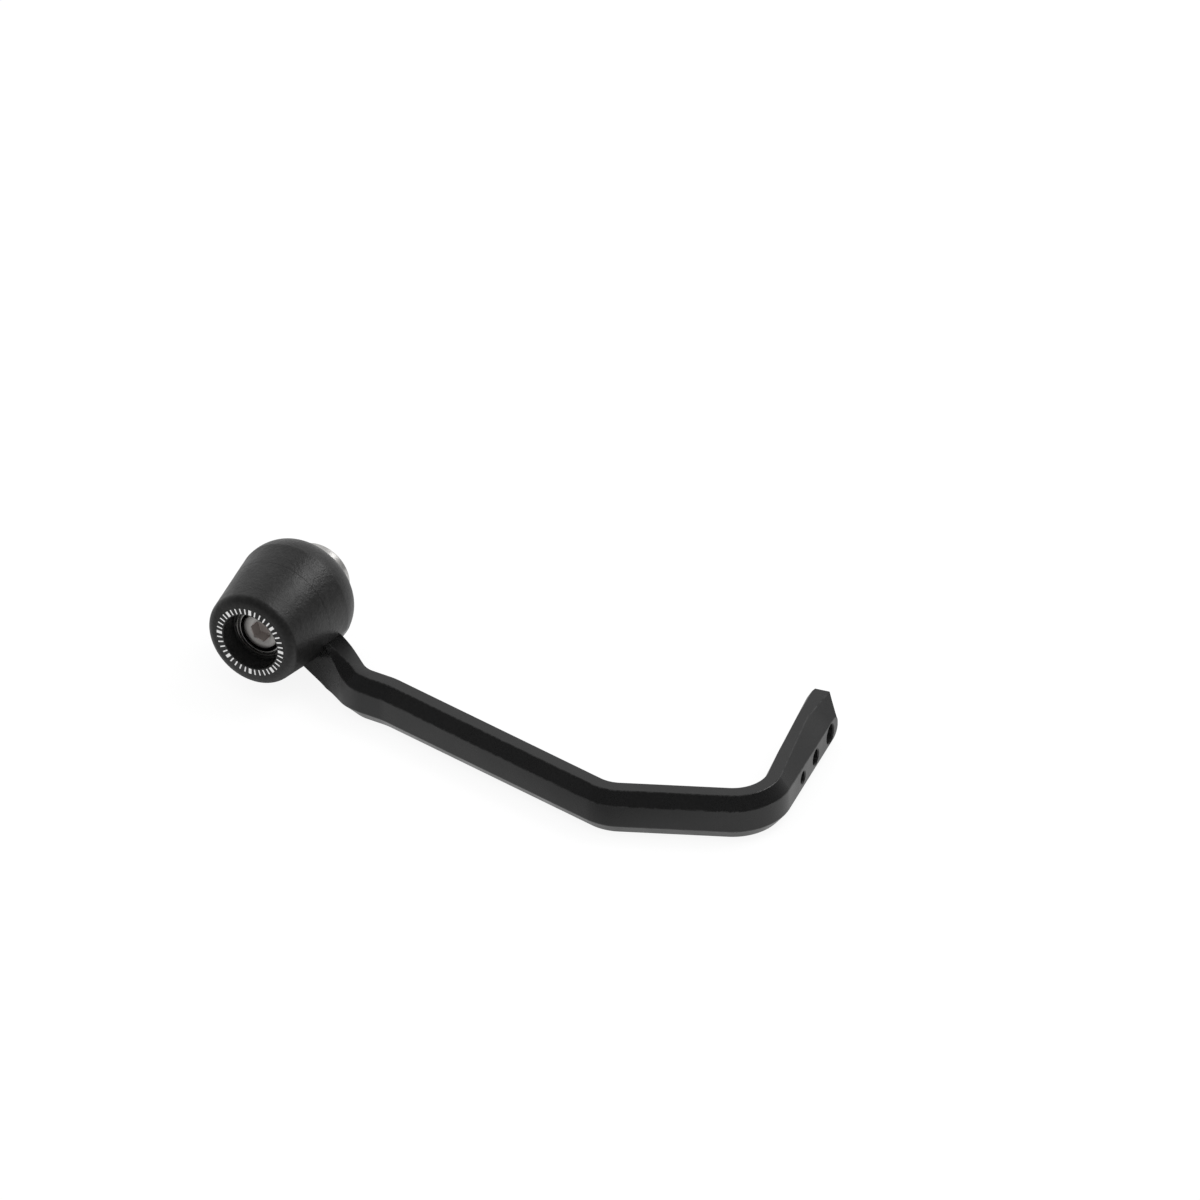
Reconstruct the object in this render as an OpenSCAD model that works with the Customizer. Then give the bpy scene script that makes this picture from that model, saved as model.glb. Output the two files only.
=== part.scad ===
/* [Bobbin] */

// length of the nylon bobbin, outer face to inner end (mm)
bobbin_l = 29; // [26:0.1:33]
// bobbin radius where the front fillet meets the cone (mm)
cone_front_r = 12.785; // [12.4:0.05:13.4]
// bobbin radius where the rear shoulder begins (mm)
cone_rear_r = 15.642; // [15.2:0.05:16.4]
// length of the rear shoulder along the bar axis (mm)
shoulder_l = 7.35; // [6:0.05:8]
// radius of the flat inner end (mm)
inner_end_r = 11.5; // [11:0.1:12.4]
// fillet radius between the outer face and the cone (mm)
face_fillet = 2.3; // [1.5:0.1:2.6]
// length of the inner half, seam to the inner end (mm)
inner_l = 14.36; // [14:0.02:14.8]
// small edge break on both halves at the seam and at the counterbore mouth (mm)
nylon_break = 0.2; // [0.1:0.05:0.3]
// radius of the counterbore in the outer face (mm)
counterbore_r = 7.74; // [7.5:0.02:8]
// depth of the counterbore (mm)
counterbore_d = 5.34; // [5:0.02:5.6]

/* [Steel core] */

// outer radius of the sleeve that carries both halves and the blade (mm)
sleeve_r = 6.5; // [6.4:0.05:6.6]
// radius of the pocket for the screw head inside the sleeve (mm)
head_pocket_r = 5.65; // [5.6:0.05:5.75]
// how far the sleeve end stands above the counterbore floor (mm)
sleeve_stand = 0.34; // [0.2:0.02:0.5]
// radius of the collar that sits on the handlebar end (mm)
collar_r = 9.5; // [9.4:0.05:9.7]
// thickness of the collar (mm)
collar_t = 2; // [1.6:0.1:2.4]
// rounding radius of the collar edge (mm)
collar_round = 0.4; // [0.3:0.05:0.45]
// how far the collar stands out of the nylon (mm)
collar_stand = 0.5; // [0.3:0.05:0.8]
// radius of the spigot that enters the handlebar (mm)
spigot_r = 8.6; // [8.4:0.05:8.7]
// length of the spigot from the collar face (mm)
spigot_l = 5.3; // [4.8:0.1:6]
// radius of the hollow in the spigot (mm)
cup_r = 7.2; // [7:0.05:7.4]
// depth of the hollow in the spigot (mm)
cup_d = 5.8; // [5:0.1:6]
// chamfer on the turned edges of the sleeve (mm)
turned_edge = 0.3; // [0.2:0.05:0.4]

/* [Screw and washer] */

// screw head radius (mm)
head_r = 5; // [4.9:0.01:5]
// screw head height (mm)
head_h = 6; // [5.9:0.05:6]
// screw head front face below the bobbin face (mm)
head_s = 5.19; // [5:0.01:5.3]
// thread outer radius (mm)
thread_r = 3; // [2.9:0.01:3]
// screw length under the head (mm)
screw_l = 25; // [24:0.5:28]
// hexagon socket, across flats (mm)
hex_af = 5; // [5:0.01:5.1]
// hexagon socket depth (mm)
hex_d = 3.2; // [3:0.1:3.6]
// washer outer radius (mm)
washer_r = 5.5; // [5.4:0.01:5.5]
// washer thickness (mm)
washer_t = 1.6; // [1.5:0.05:1.7]
// radius of the clearance hole for the screw (mm)
screw_hole_r = 3.3; // [3.2:0.05:3.4]

/* [Retaining ring] */

// thickness of the toothed push-on ring (mm)
ring_t = 0.5; // [0.4:0.05:0.6]
// outer radius of the ring band (mm)
ring_band_r = 6.85; // [6.8:0.02:7]
// radius at the tips of the ring lugs (mm)
ring_lug_r = 7.25; // [7.1:0.02:7.4]
// width of one ring lug (mm)
ring_lug_w = 1.2; // [1:0.1:1.6]
// number of ring lugs
ring_lugs = 8; // [6:1:10]

/* [Blade section] */

// blade height (mm)
blade_h = 12.6; // [12:0.1:13]
// height of the flat outer wall of the blade (mm)
wall_h = 6.1; // [5.8:0.1:6.4]
// inset of the top face behind the outer wall (mm)
outer_inset = 2.45; // [2.2:0.05:2.7]
// distance of the top face's inner edge from the outer wall (mm)
top_far = 5.1; // [4.8:0.05:5.4]
// blade thickness (mm)
blade_t = 6.6; // [6.4:0.05:6.8]
// height of the inner chamfers (mm)
inner_drop = 1.45; // [1.2:0.05:1.7]
// small break on every long edge of the blade (mm)
edge_break = 0.22; // [0.1:0.02:0.3]

/* [Blade path] */

// height of the blade's middle plane above the bar axis (mm)
blade_z = -10.8; // [-10.9:0.05:-10.6]
// place where the outer wall leaves the hub, outwards and forwards (mm)
root_x = 11.27; // [11:0.05:11.5]
root_y = 4.86; // [4.6:0.05:5]
// length of each straight run along the outer wall, corner to corner (mm)
root_len = 11.12; // [10.8:0.05:11.4]
kick_len = 13.58; // [13:0.1:14]
flat_len = 10.3; // [9:0.1:12]
reach_len = 70.75; // [60:0.5:85]
bow_len = 43.4; // [38:0.5:50]
tip_len = 49.9; // [47:0.1:54]
// heading of each run, degrees outboard of straight ahead
root_dir = 28.6; // [28:0.1:29]
kick_dir = 39.1; // [37:0.1:41]
flat_dir = 0.3; // [0:0.1:2]
reach_dir = 9.9; // [8:0.1:12]
bow_dir = -25.3; // [-28:0.1:-22]
tip_dir = -99.8; // [-103:0.1:-96]
// bend radius on the outer wall at each corner (mm)
kick_bend = 12; // [11:0.5:14]
flat_bend = 12.5; // [11:0.5:16]
reach_bend = 14.3; // [12:0.5:18]
bow_bend = 15.2; // [13:0.5:18]

/* [Blade ends] */

// length over which the root wall tapers down to the outer wall (mm)
runout_l = 15.5; // [14:0.5:17]
// steepness of that taper
runout_pow = 1.25; // [1.1:0.05:1.5]
// size of the cut on the outer corner of the tip (mm)
tip_cut = 3.4; // [2.5:0.1:4]
// run and depth of the cut on the inner corner of the tip (mm)
tip_back_run = 4; // [3:0.1:4.5]
tip_back_cut = 1.2; // [1:0.1:2]
// radius of the three holes through the tip, large to small (mm)
hole_a_r = 2.55; // [2.4:0.05:2.7]
hole_b_r = 2.05; // [1.9:0.05:2.2]
hole_c_r = 1.6; // [1.4:0.05:1.8]
// distance of each hole from the end of the tip (mm)
hole_a_back = 8.8; // [8:0.1:10]
hole_b_back = 19.35; // [18.5:0.05:20]
hole_c_back = 28.6; // [27.5:0.1:29.5]

/* [Blade hub] */

// outer radius of the hub (mm)
hub_r = 12.2; // [11.6:0.1:12.3]
// length of the hub along the bar axis (mm)
hub_l = 10; // [9.5:0.1:10.2]
// radius to which the hub shoulder fills the window (mm)
shoulder_r = 14.3; // [14:0.1:14.4]

/* [Fits] */

// radial clearance of nylon and hub on the sleeve (mm)
bore_gap = 0.05; // [0.03:0.01:0.1]
// clearance of the hub and blade root in the nylon (mm)
pocket_gap = 0.12; // [0.08:0.01:0.2]

/* [Hidden] */

$fn = 96;
far = 60;
tiny = 0.05;
nylon_color = [0.07, 0.07, 0.072];
blade_color = [0.03, 0.03, 0.032];
steel_color = [0.62, 0.62, 0.64];

// distances s run inwards from the outer face, x runs outwards from the collar seat
face_x = bobbin_l + collar_stand;
seat_s = face_x;
seam_s = bobbin_l - inner_l;
shoulder_s = bobbin_l - shoulder_l;
seam_x = face_x - seam_s;
hub_end_x = seam_x - hub_l;
cone_tan = (cone_rear_r - cone_front_r) / (shoulder_s - face_fillet);
cone_deg = atan(cone_tan);
sleeve_end_s = counterbore_d - sleeve_stand;
head_under_s = head_s + head_h;
pocket_floor_s = head_under_s + washer_t;
arc_steps = 10;
shoulder_steps = 22;

// turns children built along s into place on the bar axis
module on_axis() {
    translate([face_x, 0, 0]) rotate([0, -90, 0]) children();
}

// cone radius of the bobbin at distance s
function cone_at(s) = cone_rear_r + (s - shoulder_s) * cone_tan;
fillet_c = cone_at(face_fillet) - face_fillet / cos(cone_deg);
function fillet_pt(a) = [fillet_c + face_fillet * sin(a), face_fillet * (1 - cos(a))];
fillet_pts = [for (i = [0:arc_steps]) fillet_pt(i / arc_steps * (90 - cone_deg))];
function shoulder_pt(a) = [inner_end_r + (cone_rear_r - inner_end_r) * cos(a), shoulder_s + (bobbin_l - shoulder_s) * sin(a)];
shoulder_pts = [for (i = [0:shoulder_steps]) shoulder_pt(i / shoulder_steps * 90)];

// headings and corners of the outer wall, seen from above
function way(a) = [sin(a), cos(a)];
function inward(a) = [-cos(a), sin(a)];
runs = [root_len, kick_len, flat_len, reach_len, bow_len, tip_len];
dirs = [root_dir, kick_dir, flat_dir, reach_dir, bow_dir, tip_dir];
bends = [0, kick_bend, flat_bend, reach_bend, bow_bend];
root_back = 12;
p_root = [root_x, root_y];
function corner(i) = i == 0 ? p_root : corner(i - 1) + runs[i - 1] * way(dirs[i - 1]);
p_kick = corner(1);
p_tip = corner(5);

// one bend as stations of point and heading
bend_step = 3;
function bend_tan(i) = bends[i - 1] * tan(abs(dirs[i] - dirs[i - 1]) / 2);
function bend_at(i, f) = let (a = dirs[i - 1], d = dirs[i] - a, r = bends[i - 1] * sign(d), b = a + f * d)
    [corner(i) - bend_tan(i) * way(a) + r * [cos(a) - cos(b), sin(b) - sin(a)], b];
function bend(i) = let (n = ceil(abs(dirs[i] - dirs[i - 1]) / bend_step)) [for (j = [0:n]) bend_at(i, j / n)];
kick_steps = 6;
kick_straight = kick_len - bend_tan(2);
tip_start = bend_tan(5);
tip_steps = 8;
round_steps = 6;
nose_l = 3.4;
nose_u = tip_len - tip_cut - nose_l;
tip_us = concat([for (i = [1:tip_steps]) tip_start + i / tip_steps * (nose_u - tip_start)], [for (i = [1:round_steps]) nose_u + nose_l * sin(90 * i / round_steps)], [tip_len]);
root_stations = [[p_root - root_back * way(root_dir), root_dir], [p_kick - root_len / 2 * way(root_dir), root_dir]];
kick_stations = [for (i = [0:kick_steps - 1]) [p_kick + i / kick_steps * kick_straight * way(kick_dir), i == 0 ? (root_dir + kick_dir) / 2 : kick_dir]];
arm_stations = concat(root_stations, kick_stations, bend(2), bend(3), bend(4), bend(5));
tip_stations = [for (u = tip_us) [p_tip + u * way(tip_dir), tip_dir]];

// how far a station lies past the root corner and past the last corner
function past_kick(p) = (p - p_kick) * way(kick_dir);
function past_tip(p) = (p - p_tip) * way(tip_dir);
half_h = blade_h / 2;
wall_half = wall_h / 2;
function wall_at(t) = t <= 0 ? half_h : t >= runout_l ? wall_half : wall_half + (half_h - wall_half) * pow(1 - t / runout_l, runout_pow);
root_inset = 1.5;
crest_inset = 3.05;
crest_t = 9.5;
crest_end = 17;
function root_inset_at(t) = lookup(t, [[0, root_inset], [crest_t, crest_inset], [crest_end, outer_inset]]);
root_far = 5.6;
function root_far_at(t) = lookup(t, [[crest_t, root_far], [crest_end, top_far]]);
// the outer wall of the tip ends in a rounded nose
nose_half = 0.6;
function nose_at(u) = u <= nose_u ? wall_half : u >= nose_u + nose_l ? nose_half : nose_half + (wall_half - nose_half) * sqrt(1 - pow((u - nose_u) / nose_l, 2));
// flare of the tip: insets and drops at its start, middle and end
flare_back = 11.9;
flare_u = tip_len - flare_back;
flare_inset = 5.5;
end_inset = 3.3;
mid_back = 28.9;
mid_u = tip_len - mid_back;
mid_inset = 3.4;
mid_far = 6.1;
flare_far = 6.9;
end_far = 7.1;
mid_t = 6.9;
flare_t = 7.85;
end_t = 8.45;
mid_drop = 0.8;
flare_drop = 0.9;
function tip_inset_at(u) = lookup(u, [[tip_start, outer_inset], [mid_u, mid_inset], [flare_u, flare_inset], [nose_u, flare_inset], [tip_len, end_inset]]);
function tip_far_at(u) = lookup(u, [[tip_start, top_far], [mid_u, mid_far], [flare_u, flare_far], [tip_len, end_far]]);
function tip_t_at(u) = lookup(u, [[tip_start, blade_t], [mid_u, mid_t], [flare_u, flare_t], [tip_len, end_t]]);
function tip_drop_at(u) = lookup(u, [[tip_start, inner_drop], [mid_u, mid_drop], [flare_u, flare_drop]]);

// blade section at a station as offset from the outer wall and height
function half_section(h, a, u, t, d) = [[0, h], [a, half_h], [u, half_h], [t, half_h - d]];
function flip(p) = [for (i = [len(p) - 1:-1:0]) [p[i][0], -p[i][1]]];
function unit(v) = v / norm(v);
function broken(p) = let (n = len(p)) [for (i = [0:n - 1]) for (k = [n - 1, 1]) p[i] + edge_break * unit(p[(i + k) % n] - p[i])];
function full_section(p) = broken(concat(p, flip(p)));
function arm_section(t) = half_section(wall_at(t), root_inset_at(t), root_far_at(t), blade_t, inner_drop);
function tip_section(u) = half_section(nose_at(u), tip_inset_at(u), tip_far_at(u), tip_t_at(u), tip_drop_at(u));
function place(st, q) = let (g = st[0] + q[0] * inward(st[1])) [g[0], g[1], blade_z + q[1]];

module blade_bar() {
    arm_rows = [for (st = arm_stations) [for (q = full_section(arm_section(past_kick(st[0])))) place(st, q)]];
    tip_rows = [for (st = tip_stations) [for (q = full_section(tip_section(past_tip(st[0])))) place(st, q)]];
    rows = concat(arm_rows, tip_rows);
    n = len(rows[0]);
    m = len(rows);
    side = [for (i = [0:m - 2]) for (j = [0:n - 1]) [i * n + j, i * n + (j + 1) % n, (i + 1) * n + (j + 1) % n, (i + 1) * n + j]];
    start_cap = [[for (j = [n - 1:-1:0]) j]];
    end_cap = [[for (j = [0:n - 1]) (m - 1) * n + j]];
    polyhedron(points = [for (r = rows) each r], faces = concat(side, start_cap, end_cap), convexity = 8);
}

// lower edge of the root rises from the blade's underside to touch the hub
under_z = blade_z - half_h;
top_z = blade_z + half_h;
under_d = norm([root_y, under_z]);
under_deg = atan2(-under_z, -root_y) + asin(hub_r / under_d);
touch_d = sqrt(under_d * under_d - hub_r * hub_r);
touch_p = [root_y + touch_d * cos(under_deg), under_z + touch_d * sin(under_deg)];

// outline of the hub shoulder and its window, seen along the bar axis
module window_shape(gap) {
    polygon([[touch_p[0] - gap, touch_p[1]], [root_y - gap, under_z - gap], [far, under_z - gap], [far, top_z + gap], [0, top_z + gap]]);
}

// extrudes a forwards and upwards outline along the bar axis
module extrude_x(x0, x1) {
    translate([x0, 0, 0]) rotate([90, 0, 90]) linear_extrude(x1 - x0) children();
}

// outer wall line of the root, widened for the relief in the outer half
module relief_shape(gap) {
    polygon([p_root + gap * [1, 0], p_kick + gap * [1, 0], p_kick + [gap, far], p_root + [0, far]]);
}

module blade_root_trim() {
    translate([hub_end_x - far, -far / 2, under_z - far / 2]) cube([far, far / 2 + root_y + root_len / 2, far]);
    extrude_x(hub_end_x - far, face_x + far) polygon([touch_p, [root_y, under_z], [root_y, under_z - far], [touch_p[0] - far, under_z - far], [touch_p[0] - far, touch_p[1]]]);
}

module tip_place() {
    translate([p_tip[0], p_tip[1], blade_z]) rotate([0, 0, 90 - tip_dir]) children();
}

module tip_hole(u, r) {
    translate([u, -far / 4, 0]) rotate([-90, 0, 0]) cylinder(r = r, h = far / 2);
}

module tip_trim() {
    translate([0, 0, -blade_h]) linear_extrude(2 * blade_h) polygon([[tip_len - tip_cut, 0], [tip_len, tip_cut], [tip_len + tip_cut, tip_cut], [tip_len + tip_cut, -tip_cut], [tip_len - tip_cut, -tip_cut]]);
    translate([0, 0, -blade_h]) linear_extrude(2 * blade_h) polygon([[tip_len, end_t - tip_back_cut], [tip_len - tip_back_run, end_t], [tip_len - tip_back_run, 2 * end_t], [2 * tip_len, 2 * end_t], [2 * tip_len, end_t - tip_back_cut]]);
    tip_hole(tip_len - hole_a_back, hole_a_r);
    tip_hole(tip_len - hole_b_back, hole_b_r);
    tip_hole(tip_len - hole_c_back, hole_c_r);
}

module bobbin_outer() {
    color(nylon_color) difference() {
        on_axis() rotate_extrude() polygon(concat([[counterbore_r + nylon_break, 0]], fillet_pts,
            [[cone_at(seam_s - nylon_break), seam_s - nylon_break], [cone_at(seam_s) - nylon_break, seam_s],
            [sleeve_r + bore_gap, seam_s], [sleeve_r + bore_gap, counterbore_d], [counterbore_r, counterbore_d], [counterbore_r, nylon_break]]));
        translate([0, 0, top_z + pocket_gap - far]) linear_extrude(far) relief_shape(pocket_gap);
    }
}

module bobbin_inner() {
    color(nylon_color) difference() {
        on_axis() rotate_extrude() polygon(concat([[cone_at(seam_s) - nylon_break, seam_s], [cone_at(seam_s + nylon_break), seam_s + nylon_break]], shoulder_pts,
            [[collar_r + pocket_gap, bobbin_l], [collar_r + pocket_gap, seat_s - collar_t], [sleeve_r + bore_gap, seat_s - collar_t],
            [sleeve_r + bore_gap, seam_s + hub_l], [hub_r + pocket_gap, seam_s + hub_l], [hub_r + pocket_gap, seam_s]]));
        extrude_x(hub_end_x, seam_x + tiny) window_shape(pocket_gap);
    }
}

module guard_blade() {
    color(blade_color) difference() {
        union() {
            on_axis() translate([0, 0, seam_s]) cylinder(r = hub_r, h = hub_l);
            intersection() {
                on_axis() translate([0, 0, seam_s]) cylinder(r = shoulder_r, h = hub_l);
                extrude_x(hub_end_x, seam_x) window_shape(0);
            }
            difference() {
                blade_bar();
                blade_root_trim();
            }
        }
        on_axis() cylinder(r = sleeve_r + bore_gap, h = far);
        tip_place() tip_trim();
    }
}

module core_sleeve() {
    color(steel_color) on_axis() rotate_extrude() polygon([
        [screw_hole_r, pocket_floor_s], [head_pocket_r, pocket_floor_s], [head_pocket_r, sleeve_end_s], [sleeve_r - turned_edge, sleeve_end_s],
        [sleeve_r, sleeve_end_s + turned_edge], [sleeve_r, seat_s - collar_t],
        [collar_r - collar_round, seat_s - collar_t], [collar_r, seat_s - collar_t + collar_round],
        [collar_r, seat_s - collar_round], [collar_r - collar_round * (1 - sin(45)), seat_s - collar_round * (1 - sin(45))], [collar_r - collar_round, seat_s],
        [spigot_r, seat_s], [spigot_r, seat_s + spigot_l - turned_edge], [spigot_r - turned_edge, seat_s + spigot_l],
        [cup_r + turned_edge, seat_s + spigot_l], [cup_r, seat_s + spigot_l - turned_edge], [cup_r, seat_s + spigot_l - cup_d], [screw_hole_r, seat_s + spigot_l - cup_d]]);
}

module retaining_ring() {
    color(steel_color) on_axis() translate([0, 0, counterbore_d - ring_t]) difference() {
        union() {
            cylinder(r = ring_band_r, h = ring_t);
            intersection() {
                cylinder(r = ring_lug_r, h = ring_t);
                for (i = [0:ring_lugs - 1]) rotate([0, 0, i * 360 / ring_lugs]) translate([0, -ring_lug_w / 2, 0]) cube([counterbore_r, ring_lug_w, ring_t]);
            }
        }
        translate([0, 0, -tiny]) cylinder(r = sleeve_r, h = ring_t + 2 * tiny);
    }
}

head_break = 0.45;
thread_break = 0.6;
module cap_screw() {
    color(steel_color) on_axis() difference() {
        rotate_extrude() polygon([
            [0, head_s], [head_r - head_break, head_s], [head_r - head_break * (1 - sin(45)), head_s + head_break * (1 - cos(45))], [head_r, head_s + head_break],
            [head_r, head_under_s], [thread_r, head_under_s], [thread_r, head_under_s + screw_l - thread_break],
            [thread_r - thread_break, head_under_s + screw_l], [0, head_under_s + screw_l]]);
        translate([0, 0, head_s - tiny]) linear_extrude(hex_d + tiny) polygon([for (i = [0:5]) hex_af / sqrt(3) * [cos(60 * i), sin(60 * i)]]);
        translate([0, 0, head_s + hex_d - tiny]) cylinder(r1 = hex_af / 2, r2 = 0, h = hex_af / 4);
    }
}

module screw_washer() {
    color(steel_color) on_axis() translate([0, 0, head_under_s]) difference() {
        cylinder(r = washer_r, h = washer_t);
        translate([0, 0, -tiny]) cylinder(r = screw_hole_r, h = washer_t + 2 * tiny);
    }
}

bobbin_outer();
bobbin_inner();
guard_blade();
core_sleeve();
retaining_ring();
cap_screw();
screw_washer();
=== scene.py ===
"""Looks of the brake lever guard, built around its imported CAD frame.

The guard is a tapering nylon bobbin in two halves on a turned steel sleeve,
with a bent aluminium blade clamped between them. X points outwards along the
handlebar, Y forwards and Z up. Sizes in this file are millimetres unless a
name says otherwise, and meshes are written in metres.
"""

from __future__ import annotations

import logging
import math
from dataclasses import dataclass, field
from enum import Enum
from typing import Any, Callable, Sequence

import bmesh  # noqa: E402
import bpy  # noqa: E402
from mathutils import Matrix, Vector  # noqa: E402

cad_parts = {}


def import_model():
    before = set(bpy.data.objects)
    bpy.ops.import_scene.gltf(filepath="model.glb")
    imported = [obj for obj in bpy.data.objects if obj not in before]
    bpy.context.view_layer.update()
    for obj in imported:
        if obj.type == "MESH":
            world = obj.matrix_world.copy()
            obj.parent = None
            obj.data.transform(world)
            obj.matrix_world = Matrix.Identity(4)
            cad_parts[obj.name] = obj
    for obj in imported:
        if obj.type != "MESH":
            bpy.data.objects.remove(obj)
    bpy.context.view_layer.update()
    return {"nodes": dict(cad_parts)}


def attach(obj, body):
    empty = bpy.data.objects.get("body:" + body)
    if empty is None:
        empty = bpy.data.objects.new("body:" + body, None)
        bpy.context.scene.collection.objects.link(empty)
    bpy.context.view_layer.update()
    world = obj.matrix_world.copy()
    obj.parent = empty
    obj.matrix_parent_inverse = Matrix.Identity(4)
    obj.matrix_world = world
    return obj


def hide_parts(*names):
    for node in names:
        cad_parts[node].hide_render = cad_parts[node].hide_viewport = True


MM = 0.001
BODY = "root"
SHARP_DEG = 32.0
WELD_M = 1e-6
LOG = logging.getLogger("guard")

Point2 = tuple[float, float]
Point3 = tuple[float, float, float]


class Slot(Enum):
    """Material slots of the record, one named by each finish."""

    NYLON = "nylon"
    ANODISED = "anodised"
    TURNED = "turned_steel"
    SPRING = "spring_steel"
    SCREW = "screw_steel"


class Cut(Enum):
    """Ways in which one solid changes another."""

    MINUS = "DIFFERENCE"
    PLUS = "UNION"
    COMMON = "INTERSECT"


# Mesh tools


def new_object(name: str, points: Sequence[Point3], faces: Sequence[Sequence[int]]) -> bpy.types.Object:
    """Makes a mesh object in the scene from points in millimetres.

    Args:
        name: name of the object and of its mesh.
        points: corners in millimetres, in the frame of the part.
        faces: corner numbers of each face.

    Returns:
        The new object, at the origin.
    """
    mesh = bpy.data.meshes.new(name)
    mesh.from_pydata([Vector(p) * MM for p in points], [], [list(f) for f in faces])
    mesh.validate()
    obj = bpy.data.objects.new(name, mesh)
    bpy.context.scene.collection.objects.link(obj)
    tidy_normals(obj)
    return obj


def tidy_normals(obj: bpy.types.Object, merge_mm: float = 0.0005) -> None:
    """Merges doubled corners and turns every face outwards.

    Args:
        obj: object whose mesh is a closed shell.
        merge_mm: distance under which corners are one.
    """
    work = bmesh.new()
    work.from_mesh(obj.data)
    bmesh.ops.remove_doubles(work, verts=work.verts, dist=merge_mm * MM)
    bmesh.ops.recalc_face_normals(work, faces=work.faces)
    work.to_mesh(obj.data)
    work.free()
    obj.data.update()


def baked(obj: bpy.types.Object, name: str | None = None) -> bpy.types.Object:
    """Turns an object with modifiers into one with a plain mesh.

    Args:
        obj: object whose modifiers are evaluated and then removed.
        name: new name of the object, if it changes.

    Returns:
        The same object, with the evaluated mesh and no modifier.
    """
    bpy.context.view_layer.update()
    graph = bpy.context.evaluated_depsgraph_get()
    shown = obj.evaluated_get(graph)
    mesh = bpy.data.meshes.new_from_object(shown, preserve_all_data_layers=True, depsgraph=graph)
    obj.modifiers.clear()
    obj.data = mesh
    if name:
        obj.name = name
    mesh.name = obj.name
    return obj


def combine(target: bpy.types.Object, tools: Sequence[bpy.types.Object], how: Cut) -> bpy.types.Object:
    """Applies solids to a target solid and deletes them.

    Args:
        target: solid that is changed.
        tools: solids that change it.
        how: subtract, add or keep the common part.

    Returns:
        The changed target.
    """
    for tool in tools:
        mod = target.modifiers.new("cut", "BOOLEAN")
        mod.object = tool
        mod.operation = how.value
        mod.solver = "EXACT"
    baked(target)
    for tool in tools:
        mesh = tool.data
        bpy.data.objects.remove(tool)
        bpy.data.meshes.remove(mesh)
    tidy_normals(target)
    return target


def finish_shading(obj: bpy.types.Object, sharp_deg: float = SHARP_DEG) -> None:
    """Shades a mesh smooth, with its sharp edges kept and flats kept flat.

    Args:
        obj: object to shade.
        sharp_deg: angle above which an edge stays sharp.
    """
    work = bmesh.new()
    work.from_mesh(obj.data)
    limit = math.radians(sharp_deg)
    for edge in work.edges:
        edge.smooth = len(edge.link_faces) == 2 and edge.calc_face_angle(0.0) < limit
    for face in work.faces:
        face.smooth = True
    work.to_mesh(obj.data)
    work.free()
    mod = obj.modifiers.new("flat_faces", "WEIGHTED_NORMAL")
    mod.keep_sharp = True
    mod.weight = 60
    baked(obj)


def extruded(name: str, outline: Sequence[Point2], low: float, high: float,
             place: Callable[[float, float, float], Point3]) -> bpy.types.Object:
    """Makes a prism from an outline.

    Args:
        name: name of the object.
        outline: corners of the outline.
        low: start of the prism.
        high: end of the prism.
        place: turns outline coordinates and height into a point of the part.

    Returns:
        The prism as a closed object.
    """
    count = len(outline)
    points = [place(a, b, low) for a, b in outline] + [place(a, b, high) for a, b in outline]
    sides = [(i, (i + 1) % count, count + (i + 1) % count, count + i) for i in range(count)]
    caps = [tuple(range(count - 1, -1, -1)), tuple(range(count, 2 * count))]
    return new_object(name, points, sides + caps)


def soft_corner(before: Vector, here: Vector, after: Vector, size: float, share: float,
                spots: Sequence[float]) -> list[Vector]:
    """Replaces a corner by a short curve.

    Args:
        before: corner before it.
        here: the corner itself.
        after: corner after it.
        size: length that the curve takes on each side.
        share: largest share of a side that it may take.
        spots: places of the points on the curve, from 0 to 1.

    Returns:
        The points of the curve.
    """
    back, ahead = before - here, after - here
    start = here + back.normalized() * min(size, back.length * share)
    stop = here + ahead.normalized() * min(size, ahead.length * share)
    return [start * (1 - t) ** 2 + here * 2 * t * (1 - t) + stop * t ** 2 for t in spots]


def rounded(outline: Sequence[tuple[float, float, float]], steps: int = 4) -> list[Point2]:
    """Rounds the corners of a closed outline.

    Args:
        outline: corners with the length that the rounding takes on each side.
        steps: points on each rounding.

    Returns:
        The outline with its corners replaced by short curves.
    """
    corners = [Vector(row[:2]) for row in outline]
    out: list[Point2] = []
    for i, (s, r, size) in enumerate(outline):
        if size <= 0:
            out.append((s, r))
            continue
        after = corners[(i + 1) % len(corners)]
        curve = soft_corner(corners[i - 1], corners[i], after, size, 0.5, [j / steps for j in range(steps + 1)])
        out += [(q.x, q.y) for q in curve]
    return out


def swept_faces(turns: int, count: int) -> list[tuple[int, int, int, int]]:
    """Joins open sections that follow each other round an axis.

    Args:
        turns: number of sections; the last is joined to the first.
        count: points in each section.

    Returns:
        Corner numbers of each face.
    """
    out = []
    for k in range(turns):
        here, there = k * count, (k + 1) % turns * count
        out += [(here + i, here + i + 1, there + i + 1, there + i) for i in range(count - 1)]
    return out


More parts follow.
